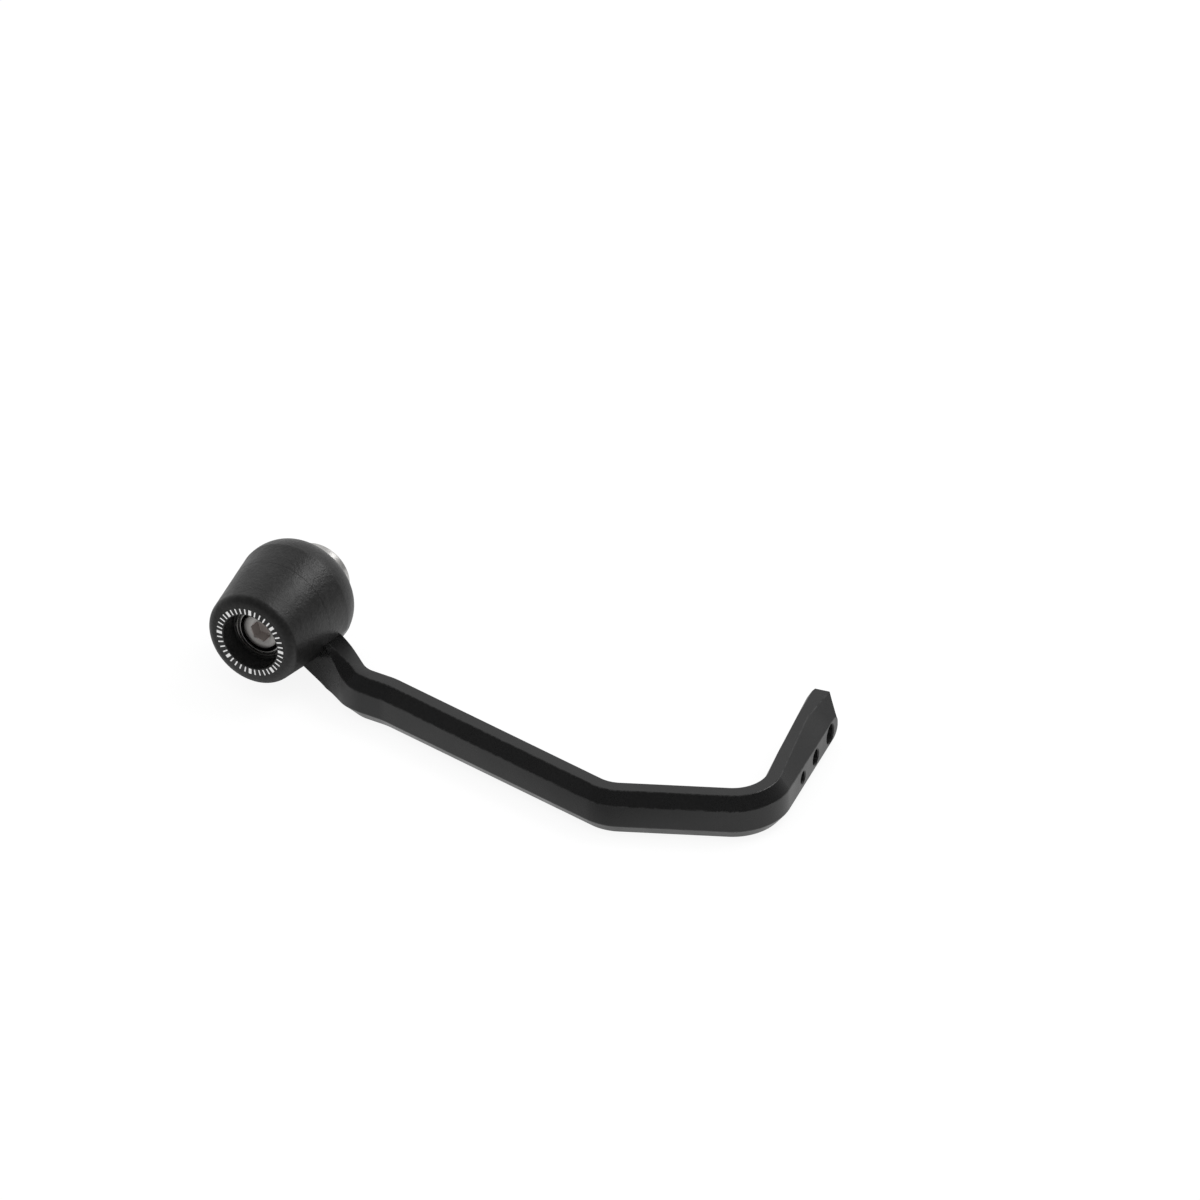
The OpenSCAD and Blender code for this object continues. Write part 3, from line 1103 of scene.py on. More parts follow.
@dataclass
class GuardBlade:
    """The bent blade with its chamfered section, hub and pierced tip.

    Attributes:
        height: height of the blade.
        wall: height of the flat outer wall.
        inset: inset of the top face behind the outer wall.
        top_far: distance of the top face's inner edge from the outer wall.
        thick: thickness of the blade.
        drop: height of the inner chamfers.
        edges: rounding at each corner of the section, from the outer wall inwards.
        middle_z: height of the blade's middle plane.
        root: place where the outer wall leaves the hub.
        buried: length of the bar that starts inside the hub.
        runs: length of each straight run.
        headings: degrees outboard of straight ahead for each run.
        bends: bend radius at each corner.
        root_inset: inset of the top face at the root.
        crest_inset: its inset at the crest of the root's chamfer.
        crest: distance of that crest past the root corner.
        crest_end: distance at which the inset and the top face are the arm's.
        root_far: distance of the top face's inner edge at the root.
        runout: distance over which the outer wall comes down from the full height.
        runout_power: how soon it comes down; 1 is a straight line.
        tip_cut: size of the cut at the outer corner of the tip's end.
        back_run: length of the cut at its inner corner.
        back_cut: depth of that cut.
        nose: length over which the outer wall narrows before the cut.
        nose_half: half height that is left of it.
        flare_back: distance of the widest flare from the end of the tip.
        middle_back: distance of the tip's slim middle from its end.
        tip_inset: inset of the top face at the middle, the flare and the end.
        tip_far: distance of the top face's inner edge at the same three places.
        tip_thick: thickness at those places.
        tip_drop: height of the inner chamfers at those places.
        holes: distance from the tip's end and radius of each hole.
        hole_flare: flare at both mouths of a hole.
        hub: radius of the hub.
        hub_length: its length along the axis.
        sink: how far the hub's shoulder lies below the nylon in the window.
        bore: radius of the bore on the sleeve.
        seam: distance of the hub's outer face from the outer face of the bobbin.
        bend_step: degrees between stations in a bend.
        steps: steps round the axis.
    """

    height: float = 12.6
    wall: float = 6.1
    inset: float = 2.45
    top_far: float = 5.85
    thick: float = 6.6
    drop: float = 1.45
    edges: tuple[float, ...] = (0.28, 0.28, 0.1, 0.2)
    middle_z: float = -10.8
    root: Point2 = (11.27, 4.86)
    buried: float = 12.0
    runs: tuple[float, ...] = (11.12, 13.58, 10.3, 70.75, 43.4, 49.9)
    headings: tuple[float, ...] = (28.6, 39.1, 0.3, 9.9, -25.3, -99.8)
    bends: tuple[float, ...] = (45.0, 12.0, 12.5, 14.3, 15.2)
    root_inset: float = 1.5
    crest_inset: float = 3.05
    crest: float = 9.5
    crest_end: float = 17.0
    root_far: float = 6.1
    runout: float = 15.5
    runout_power: float = 1.25
    tip_cut: float = 3.4
    back_run: float = 4.0
    back_cut: float = 1.2
    nose: float = 3.4
    nose_half: float = 0.6
    flare_back: float = 11.9
    middle_back: float = 28.9
    tip_inset: Point3 = (3.4, 4.9, 3.4)
    tip_far: Point3 = (6.6, 7.4, 7.6)
    tip_thick: Point3 = (6.9, 7.85, 8.45)
    tip_drop: Point3 = (0.8, 0.9, 0.9)
    holes: tuple[Point2, ...] = ((8.8, 2.55), (19.35, 2.05), (28.6, 1.6))
    hole_flare: float = 0.3
    hub: float = 12.2
    hub_length: float = 10.0
    sink: float = 0.12
    bore: float = 6.55
    seam: float = 14.64
    bend_step: float = 1.0
    steps: int = 256

    FAR = 60.0  # past every piece
    FINE = 0.05  # keeps two cuts apart
    SHARP = 24.0  # degrees above which an edge stays sharp
    LEAN = 0.3  # least slope of the chamfers at the tip's end
    KICK_STEPS = 18
    TIP_STEPS = 24
    NOSE_STEPS = 12
    END_STEPS = 6
    SKIN_STEPS = 12

    @property
    def seam_x(self) -> float:
        """X of the seam plane."""
        return AXIS.face_x - self.seam

    @property
    def hub_end_x(self) -> float:
        """X of the hub's inner face."""
        return self.seam_x - self.hub_length

    @property
    def half(self) -> float:
        """Half of the blade's height."""
        return self.height / 2

    @property
    def tip_length(self) -> float:
        """Length of the last run."""
        return self.runs[-1]

    @property
    def nose_at(self) -> float:
        """Distance past the last corner at which the tip's wall begins to narrow."""
        return self.tip_length - self.tip_cut - self.nose

    @staticmethod
    def way(deg: float) -> Vector:
        """Returns the direction of a heading, seen from above."""
        return Vector((math.sin(math.radians(deg)), math.cos(math.radians(deg))))

    @staticmethod
    def inward(deg: float) -> Vector:
        """Returns the direction across a heading, towards the lever."""
        return Vector((-math.cos(math.radians(deg)), math.sin(math.radians(deg))))

    def corner(self, number: int) -> Vector:
        """Returns a corner of the outer wall line.

        Args:
            number: corner, with 0 at the root.

        Returns:
            Its place from above.
        """
        place = Vector(self.root)
        for length, deg in zip(self.runs[:number], self.headings):
            place = place + self.way(deg) * length
        return place

    def bend_length(self, number: int) -> float:
        """Returns how much of each run the bend at a corner takes."""
        turn = abs(self.headings[number] - self.headings[number - 1])
        return self.bends[number - 1] * math.tan(math.radians(turn / 2))

    def bend(self, number: int) -> list[tuple[Vector, float]]:
        """Returns the stations of the bend at a corner.

        Args:
            number: corner of the bend.

        Returns:
            Place and heading of each station.
        """
        start_deg = self.headings[number - 1]
        turn = self.headings[number] - start_deg
        radius = math.copysign(self.bends[number - 1], turn)
        start = self.corner(number) - self.way(start_deg) * self.bend_length(number)
        count = max(2, math.ceil(abs(turn) / self.bend_step))
        out = []
        for j in range(count + 1):
            deg = start_deg + turn * j / count
            a, b = math.radians(start_deg), math.radians(deg)
            out.append((start + Vector((math.cos(a) - math.cos(b), math.sin(b) - math.sin(a))) * radius, deg))
        return out

    def section(self, outer: float, inset: float, far: float, thick: float, drop: float) -> list[Point3]:
        """Returns a rounded section of the blade.

        Args:
            outer: half height of the outer wall.
            inset: inset of the top face.
            far: distance of the top face's inner edge.
            thick: thickness.
            drop: height of the inner chamfers.

        Returns:
            Offset, height and edge mark of each point.
        """
        half = [(0.0, outer), (inset, self.half), (far, self.half), (thick, self.half - drop)]
        loop = [Vector(p) for p in half + [(a, -h) for a, h in reversed(half)]]
        sizes = self.edges + self.edges[::-1]
        spots = (0.0, 0.33, 0.67, 1.0)
        out = []
        for i, here in enumerate(loop):
            curve = soft_corner(loop[i - 1], here, loop[(i + 1) % len(loop)], sizes[i], 0.4, spots)
            out += [(q.x, q.y, 1.0 if 0 < t < 1 else 0.0) for q, t in zip(curve, spots)]
        return out

    def arm_section(self, t: float) -> list[Point3]:
        """Returns the section at a distance past the root corner.

        Args:
            t: the distance.

        Returns:
            Offset, height and edge mark of each point.
        """
        low = self.wall / 2
        if t <= 0:
            outer = self.half
        elif t >= self.runout:
            outer = low
        else:
            outer = low + (self.half - low) * (1 - t / self.runout) ** self.runout_power
        inset = lookup(
            t, [(0.0, self.root_inset), (self.crest, self.crest_inset), (self.crest_end, self.inset)])
        far = lookup(t, [(self.crest, self.root_far), (self.crest_end, self.top_far)])
        return self.section(outer, inset, far, self.thick, self.drop)

    def tip_size(self, u: float, first: float, later: Point3) -> float:
        """Reads a size of the section along the tip.

        Args:
            u: distance past the last corner.
            first: the size where the last bend ends.
            later: the size at the middle, the flare and the end.

        Returns:
            The size there.
        """
        end = self.tip_length
        places = (self.bend_length(5), end - self.middle_back, end - self.flare_back, end)
        return lookup(u, list(zip(places, (first, *later))))

    def tip_section(self, u: float) -> list[Point3]:
        """Returns the section at a distance past the last corner.

        Args:
            u: the distance.

        Returns:
            Offset, height and edge mark of each point.
        """
        past, low = (u - self.nose_at) / self.nose, self.wall / 2
        if past <= 0:
            outer = low
        else:
            outer = self.nose_half + (low - self.nose_half) * math.sqrt(max(0.0, 1 - past ** 2))
        return self.section(
            outer, self.tip_size(u, self.inset, self.tip_inset), self.tip_size(u, self.top_far, self.tip_far),
            self.tip_size(u, self.thick, self.tip_thick), self.tip_size(u, self.drop, self.tip_drop))

    def rows(self) -> list[tuple[Vector, float, list[Point3]]]:
        """Returns place, heading and section of every station along the blade."""
        kick, root_way, kick_way = self.corner(1), self.way(self.headings[0]), self.way(self.headings[1])
        first = self.bend_length(1)
        straight = self.runs[1] - self.bend_length(2) - first
        stations = [(Vector(self.root) - root_way * self.buried, self.headings[0])] + self.bend(1)
        for i in range(1, self.KICK_STEPS):
            stations.append((kick + kick_way * (first + straight * i / self.KICK_STEPS), self.headings[1]))
        for number in (2, 3, 4, 5):
            stations += self.bend(number)
        out = [(p, deg, self.arm_section((p - kick).dot(kick_way))) for p, deg in stations]
        last, tip_way, tip_deg = self.corner(5), self.way(self.headings[5]), self.headings[5]
        start, tip, nose, end = self.bend_length(5), self.TIP_STEPS, self.NOSE_STEPS, self.END_STEPS
        places = [start + (self.nose_at - start) * i / tip for i in range(1, tip + 1)]
        places += [self.nose_at + self.nose * math.sin(math.pi / 2 * i / nose) for i in range(1, nose + 1)]
        places += [self.tip_length - self.tip_cut * (1 - i / end) for i in range(1, end + 1)]
        return out + [(last + tip_way * u, tip_deg, self.tip_section(u)) for u in places]

    def bar(self, name: str = "guard_blade_body", grow: float = 0.0) -> bpy.types.Object:
        """Lofts the blade through its stations.

        Args:
            name: name of the object.
            grow: how far the outer side and the height are moved outwards.

        Returns:
            The closed bar.
        """
        points: list[Point3] = []
        marks: list[float] = []
        rows = self.rows()
        for place, deg, section in rows:
            across = self.inward(deg)
            for offset, high, mark in section:
                spot = place + across * (offset - grow)
                points.append((spot.x, spot.y, self.middle_z + high * (1 + grow / self.half)))
                marks.append(mark)
        n, m = len(rows[0][2]), len(rows)
        faces = [(i * n + j, i * n + (j + 1) % n, (i + 1) * n + (j + 1) % n, (i + 1) * n + j)
                 for i in range(m - 1) for j in range(n)]
        faces += [tuple(range(n - 1, -1, -1)), tuple(range((m - 1) * n, m * n))]
        obj = new_object(name, points, faces)
        if len(obj.data.vertices) == len(marks):
            layer = obj.data.attributes.new("edge", "FLOAT", "POINT")
            layer.data.foreach_set("value", marks)
        return obj

    def touch(self) -> Point2:
        """Returns where the lower edge of the root meets the hub, forwards and up."""
        under = self.middle_z - self.half
        away = math.hypot(self.root[1], under)
        turn = math.atan2(-under, -self.root[1]) + math.asin(self.hub / away)
        length = math.sqrt(away * away - self.hub * self.hub)
        return (self.root[1] + length * math.cos(turn), under + length * math.sin(turn))

    def window(self, gap: float) -> bpy.types.Object:
        """Returns the prism of the window, widened by a gap.

        Args:
            gap: clearance round the blade.

        Returns:
            The prism.
        """
        y0, z0 = self.touch()
        under, top = self.middle_z - self.half, self.middle_z + self.half
        outline = [(y0 - gap, z0), (self.root[1] - gap, under - gap), (self.FAR, under - gap),
                   (self.FAR, top + gap), (0.0, top + gap)]
        return AXIS.prism("window", outline, self.hub_end_x, self.seam_x + (self.FINE if gap else 0.0))

    def root_trims(self) -> list[bpy.types.Object]:
        """Returns the solids that cut the bar to the hub."""
        under = self.middle_z - self.half
        y1 = self.root[1] + self.runs[0] / 2
        box = extruded("trim", [(self.hub_end_x - self.FAR, -self.FAR / 2), (self.hub_end_x, -self.FAR / 2),
                                (self.hub_end_x, y1), (self.hub_end_x - self.FAR, y1)],
                       under - self.FAR / 2, under + self.FAR / 2, lambda x, y, z: (x, y, z))
        y0, z0 = self.touch()
        low = under - self.FAR
        y2, y3 = self.root[1], y0 - self.FAR
        outline = [(y0, z0), (y2, under), (y2, low), (y3, low), (y3, z0)]
        wedge = AXIS.prism("trim", outline, self.hub_end_x - self.FAR, AXIS.face_x + self.FAR)
        return [box, wedge]

    def tip_point(self, u: float, across: float, z: float) -> Point3:
        """Returns the point at a distance along the tip and across it."""
        spot = self.corner(5) + self.way(self.headings[5]) * u + self.inward(self.headings[5]) * across
        return (spot.x, spot.y, self.middle_z + z)

    def hole(self, back: float, radius: float, steps: int = 48) -> bpy.types.Object:
        """Returns the solid that pierces the tip, flared at both faces.

        Args:
            back: distance of the hole from the end of the tip.
            radius: radius of the hole.
            steps: steps round it.

        Returns:
            The closed cutter.
        """
        u = self.tip_length - back
        far = self.tip_size(u, self.thick, self.tip_thick)
        flare, past = self.hole_flare, 2.0
        profile = [(-past, 0.0), (-past, radius + flare + past), (flare, radius), (far - flare, radius),
                   (far + past, radius + flare + past), (far + past, 0.0)]
        points = [self.tip_point(u + r * math.cos(math.tau * k / steps), v, r * math.sin(math.tau * k / steps))
                  for k in range(steps) for v, r in profile]
        return new_object("hole", points, swept_faces(steps, len(profile)))

    def tip_trims(self) -> list[bpy.types.Object]:
        """Returns the solids that cut the corners of the tip and pierce it."""
        end, cut, high = self.tip_length, self.tip_cut, self.height
        thick = self.tip_thick[-1]
        low, past = thick - self.back_cut, 2 * thick
        outlines = (
            [(end - cut, 0.0), (end, cut), (end + cut, cut), (end + cut, -cut), (end - cut, -cut)],
            [(end, low), (end - self.back_run, thick), (end - self.back_run, past), (end + past, past),
             (end + past, low)])
        cuts = [extruded("trim", outline, -high, high, self.tip_point) for outline in outlines]
        return cuts + [self.hole(back, radius) for back, radius in self.holes]

    def level_tip(self, obj: bpy.types.Object) -> None:
        """Shades the upper and lower chamfers of the tip's end as flat planes.

        Args:
            obj: finished blade.
        """
        inset = self.tip_size(self.nose_at, self.inset, self.tip_inset)
        rise = self.half - self.wall / 2
        start, across, along = self.corner(5), self.inward(self.headings[5]), self.way(self.headings[5])
        mesh = obj.data
        normals = [Vector(n.vector) for n in mesh.corner_normals]
        for face in mesh.polygons:
            u = (face.center.xy / MM - start).dot(along)
            outwards, upwards = -face.normal.xy.dot(across), face.normal.z
            if u > self.nose_at and min(outwards, abs(upwards)) > self.LEAN:
                flat = Vector((-across.x * rise, -across.y * rise, math.copysign(inset, upwards))).normalized()
                for loop in face.loop_indices:
                    normals[loop] = flat
        mesh.normals_split_custom_set(normals)

    def build(self, shop: Workshop, outside: Callable[[float], float]) -> None:
        """Builds and dresses the blade.

        Args:
            shop: materials.
            outside: radius of the nylon at a distance from the outer face.
        """
        body = combine(self.bar(), self.root_trims(), Cut.MINUS)
        end = self.seam + self.hub_length
        outline = [(self.seam, 0.0, 0.0), (self.seam, self.hub, 0.2), (end, self.hub, 0.2), (end, 0.0, 0.0)]
        hub = AXIS.lathe("hub", rounded(outline), self.steps)
        stops = [self.seam + self.hub_length * i / self.SKIN_STEPS for i in range(self.SKIN_STEPS + 1)]
        skin = [(s, outside(s) - self.sink) for s in stops]
        filler = AXIS.lathe("shoulder", [(self.seam, 0.0), *skin, (end, 0.0)], self.steps)
        combine(filler, [self.window(0.0)], Cut.COMMON)
        combine(body, [hub, filler], Cut.PLUS)
        drill = [(0.0, 0.0), (0.0, self.bore), (self.FAR, self.bore), (self.FAR, 0.0)]
        bore = AXIS.lathe("bore", drill, self.steps)
        combine(body, [bore] + self.tip_trims(), Cut.MINUS)
        finish_shading(body, self.SHARP)
        self.level_tip(body)
        shop.dress(body, ANODISED, "guard_blade")


@dataclass
class SteelCore:
    """The turned sleeve with its collar and spigot, and the push-on ring.

    Attributes:
        sleeve: outer radius of the sleeve.
        head_pocket: radius of the screw head's pocket.
        end: distance of the sleeve's end from the outer face.
        pocket_floor: distance of the pocket's floor.
        collar: radius of the collar.
        collar_thick: its thickness.
        collar_round: rounding of its edges.
        seat: distance of the collar's seat from the outer face.
        spigot: radius of the spigot.
        spigot_length: its length.
        cup: radius of its hollow.
        cup_depth: depth of the hollow.
        screw_hole: radius of the clearance hole.
        edge: chamfer of the turned edges.
        ring_thick: thickness of the push-on ring.
        ring_band: outer radius of its band.
        ring_lug: radius at its lugs.
        counterbore_floor: distance of the floor that the ring lies on.
    """

    sleeve: float = 6.5
    head_pocket: float = 5.65
    end: float = 5.0
    pocket_floor: float = 12.79
    collar: float = 9.5
    collar_thick: float = 2.0
    collar_round: float = 0.4
    seat: float = 29.5
    spigot: float = 8.6
    spigot_length: float = 5.3
    cup: float = 7.2
    cup_depth: float = 5.8
    screw_hole: float = 3.3
    edge: float = 0.3
    ring_thick: float = 0.5
    ring_band: float = 6.85
    ring_lug: float = 7.25
    counterbore_floor: float = 5.34

    RING_ROWS = 8

    def sleeve_body(self) -> bpy.types.Object:
        """Turns the sleeve, collar and spigot from one profile."""
        back = self.seat + self.spigot_length
        neck = self.seat - self.collar_thick
        profile = rounded([
            (self.pocket_floor, self.screw_hole, 0.25), (self.pocket_floor, self.head_pocket, 0.2),
            (self.end, self.head_pocket, 0.15), (self.end, self.sleeve, self.edge),
            (neck, self.sleeve, 0.15), (neck, self.collar, self.collar_round),
            (self.seat, self.collar, self.collar_round), (self.seat, self.spigot, 0.15),
            (back, self.spigot, self.edge), (back, self.cup, self.edge),
            (back - self.cup_depth, self.cup, 0.3), (back - self.cup_depth, self.screw_hole, 0.25)])
        return AXIS.lathe("turned_sleeve", profile, 224)

    def ring_tree(self) -> GeometryTree:
        """Builds the tree of the push-on ring: a band with lugs bent round it."""
        tree = GeometryTree(
            "push_on_ring",
            {"Inner radius": self.sleeve * MM, "Band radius": self.ring_band * MM,
             "Lug radius": self.ring_lug * MM, "Lug width": 1.2 * MM, "Thickness": self.ring_thick * MM,
             "Ring X": (AXIS.face_x - self.counterbore_floor) * MM},
            {"Lugs": 8, "Steps": 192})
        inner, band, lug = tree.size("Inner radius"), tree.size("Band radius"), tree.size("Lug radius")
        thick = tree.size("Thickness")
        grid, around, share = tree.sheet(tree.plus(tree.size("Steps"), 1.0), self.RING_ROWS + 1)
        turn = tree.times(around, math.tau)
        row = tree.math("ROUND", tree.times(share, float(self.RING_ROWS)))
        pitch = tree.over(math.tau, tree.size("Lugs"))
        half_pitch = tree.times(pitch, 0.5)
        local = tree.minus(tree.math("WRAP", tree.plus(turn, half_pitch), pitch, 0.0), half_pitch)
        reach = tree.over(tree.times(tree.size("Lug width"), 0.5), lug)
        on_lug = tree.ramp(tree.over(tree.math("ABSOLUTE", local), reach), 1.25, 0.75)
        rim = tree.math("MULTIPLY_ADD", on_lug, tree.minus(lug, band), band)
        bevel = tree.times(thick, 0.2)
        radius = tree.times(self.is_row(tree, row, (2, 3)), rim)
        steps = ((1, 4), tree.minus(rim, bevel)), ((6, 7), inner), ((0, 5, 8), tree.plus(inner, bevel))
        for numbers, value in steps:
            radius = tree.math("MULTIPLY_ADD", self.is_row(tree, row, numbers), value, radius)
        height = tree.times(self.is_row(tree, row, (4, 5)), thick)
        for numbers, value in (((3, 6), tree.minus(thick, bevel)), ((2, 7), bevel)):
            height = tree.math("MULTIPLY_ADD", self.is_row(tree, row, numbers), value, height)
        closed = tree.rolled(grid, radius, turn, height)
        tree.end(tree.on_bar_axis(closed, tree.size("Ring X")))
        return tree

    @staticmethod
    def is_row(tree: GeometryTree, row: Any, numbers: Sequence[int]) -> Any:
        """Returns 1 on the named rows of a grid and 0 elsewhere.

        Args:
            tree: tree that the nodes are added to.
            row: socket of the row.
            numbers: the named rows.

        Returns:
            The socket of the mask.
        """
        total: Any = 0.0
        for number in numbers:
            hit = tree.math("COMPARE", row, float(number), 0.5)
            total = hit if total == 0.0 else tree.plus(total, hit)
        return total

    def build(self, shop: Workshop) -> None:
        """Builds and dresses the sleeve and the ring.

        Args:
            shop: materials.
        """
        body = self.sleeve_body()
        finish_shading(body)
        shop.dress(body, TURNED, "core_sleeve")
        ring = self.ring_tree().run("push_on_ring", shop.material(SPRING))
        tidy_normals(ring)
        finish_shading(ring)
        shop.dress(ring, SPRING, "retaining_ring")


@dataclass
class ClampScrew:
    """The socket head cap screw and its washer.

    Attributes:
        head: head radius.
        head_high: head height.
        head_at: distance of the head's front from the outer face.
        ribs: number of ribs in the knurl round the head.
        knurl: depth of the knurl.
        shank: radius over the thread.
        length: length under the head.
        plain: length of plain shank.
        tuck: how far the shank reaches into the head.
        pitch: thread pitch.
        thread_depth: depth of the thread form.
        socket: hexagon across flats.
        socket_depth: depth of the hexagon.
        socket_turn: turn of the hexagon about the axis.
        washer: washer radius.
        washer_thick: its thickness.
        hole: radius of the washer's hole.
    """

    head: float = 5.0
    head_high: float = 6.0
    head_at: float = 5.19
    ribs: int = 72
    knurl: float = 0.13
    shank: float = 3.0
    length: float = 25.0
    plain: float = 7.0
    tuck: float = 0.4
    pitch: float = 1.0
    thread_depth: float = 0.56
    socket: float = 5.0
    socket_depth: float = 3.2
    socket_turn: float = math.radians(40.0)
    washer: float = 5.5
    washer_thick: float = 1.6
    hole: float = 3.3

    @property
    def under_head(self) -> float:
        """Distance of the underside of the head from the outer face."""
        return self.head_at + self.head_high

    def thread_tree(self) -> GeometryTree:
        """Builds the tree of the shank, a rod whose radius follows the thread's helix."""
        tree = GeometryTree(
            "screw_shank",
            {"Shank radius": self.shank * MM, "Length": (self.length + self.tuck) * MM,
             "Plain length": self.plain * MM, "Pitch": self.pitch * MM, "Thread depth": self.thread_depth * MM,
             "End chamfer": 0.6 * MM, "Start X": (AXIS.face_x - self.under_head + self.tuck) * MM},
            {"Steps round": 64, "Steps along": 380})
        shank, plain = tree.size("Shank radius"), tree.size("Plain length")
        grid, around, share = tree.sheet(
            tree.plus(tree.size("Steps round"), 1.0), tree.plus(tree.size("Steps along"), 1.0))
        along = tree.times(share, tree.size("Length"))
        saw = tree.math("PINGPONG", tree.minus(tree.over(along, tree.size("Pitch")), around), 0.5)
        groove = tree.ramp(saw, 0.06, 0.46, 1.0, 0.0)
        run_in = tree.ramp(along, tree.minus(plain, 0.4 * MM), tree.plus(plain, 0.8 * MM))
        thread_r = tree.minus(shank, tree.times(tree.times(groove, run_in), tree.size("Thread depth")))
        left = tree.minus(tree.size("Length"), along)
        cone_r = tree.plus(tree.minus(shank, tree.size("End chamfer")), left)
        open_end = tree.times(tree.math("GREATER_THAN", share, 0.0005), tree.math("LESS_THAN", share, 0.9995))
        radius = tree.times(tree.math("MINIMUM", thread_r, cone_r), open_end)
        closed = tree.rolled(grid, radius, tree.times(around, math.tau), tree.times(along, -1.0))
        tree.end(tree.on_bar_axis(closed, tree.size("Start X")))
        return tree

    def head_body(self) -> bpy.types.Object:
        """Turns the head, knurls its side and sinks the hexagon."""
        s0, s1 = self.head_at, self.under_head
        outline = rounded([(s0, 0.0, 0.0), (s0, self.head, 0.45), (s1, self.head, 0.25), (s1, 0.0, 0.0)], 5)
        side = [(s0 + 0.6 + (s1 - s0 - 1.0) * i / 6, self.head) for i in range(7)]
        cut_at = 1 + 6
        profile = outline[:cut_at] + side + outline[cut_at:]
        segments = self.ribs * 4
        points: list[Point3] = []
        for k in range(segments):
            dip = self.knurl * (0.5 - 0.5 * math.cos(math.tau * k * self.ribs / segments))
            for i, (s, r) in enumerate(profile):
                on_side = cut_at + 1 <= i < cut_at + len(side) - 1
                points.append(AXIS.point(s, r - (dip if on_side else 0.0), math.tau * k / segments))
        faces = swept_faces(segments, len(profile))
        head = new_object("cap_screw_head", points, faces)
        return combine(head, [self.hexagon(), self.socket_mouth()], Cut.MINUS)

    def hexagon(self) -> bpy.types.Object:
        """Returns the cutter of the hexagon with the drill point at its floor."""
        reach = self.socket / math.sqrt(3)
        turns = [math.pi / 3 * k + self.socket_turn for k in range(6)]
        ring = [(reach * math.sin(a), reach * math.cos(a)) for a in turns]
        floor = self.head_at + self.socket_depth
        levels = [(self.head_at - 1.0, 1.0), (floor, 1.0), (floor + 0.25, 0.8)]
        points = [(AXIS.face_x - s, y * k, z * k) for s, k in levels for y, z in ring]
        points.append((AXIS.face_x - floor - 1.25, 0.0, 0.0))
        faces: list[tuple[int, ...]] = [tuple(range(6))]
        sides = [(i, (i + 1) % 6) for i in range(6)]
        for level in (0, 6):
            faces += [(level + i, level + j, level + 6 + j, level + 6 + i) for i, j in sides]
        faces += [(12 + i, 12 + j, 18) for i, j in sides]
        return new_object("hexagon", points, faces)

    def socket_mouth(self) -> bpy.types.Object:
        """Returns the shallow cone that opens the hexagon's mouth."""
        reach = self.socket / math.sqrt(3)
        s0, s1 = self.head_at, self.head_at + 0.16
        cone = [(s0 - 1.0, 0.0), (s0 - 1.0, reach + 1.9), (s0, reach + 0.03), (s1, reach - 0.25), (s1, 0.0)]
        return AXIS.lathe("mouth", cone, 96)

    def build(self, shop: Workshop) -> None:
        """Builds and dresses the screw and the washer.

        Args:
            shop: materials.
        """
        head = self.head_body()
        finish_shading(head)
        shop.dress(head, SCREW, "cap_screw")
        shank = self.thread_tree().run("cap_screw_shank", shop.material(SCREW))
        tidy_normals(shank)
        shop.dress(shank, SCREW)
        s0, s1 = self.under_head, self.under_head + self.washer_thick
        outline = [(s0, self.hole, 0.1), (s0, self.washer, 0.25), (s1, self.washer, 0.15), (s1, self.hole, 0.1)]
        washer = AXIS.lathe("flat_washer", rounded(outline), 160)
        finish_shading(washer)
        shop.dress(washer, TURNED, "screw_washer")


# Studio


@dataclass(frozen=True)
class RoomSide:
    """A side of the room that is lit less than the rest.

    Attributes:
        direction: where it lies, seen from the part.
        start: cosine at which it begins.
        full: cosine at which it is complete.
        away: brightness away from it.
        level: its own brightness.
    """

    direction: Point3
    start: float
    full: float
    away: float
    level: float


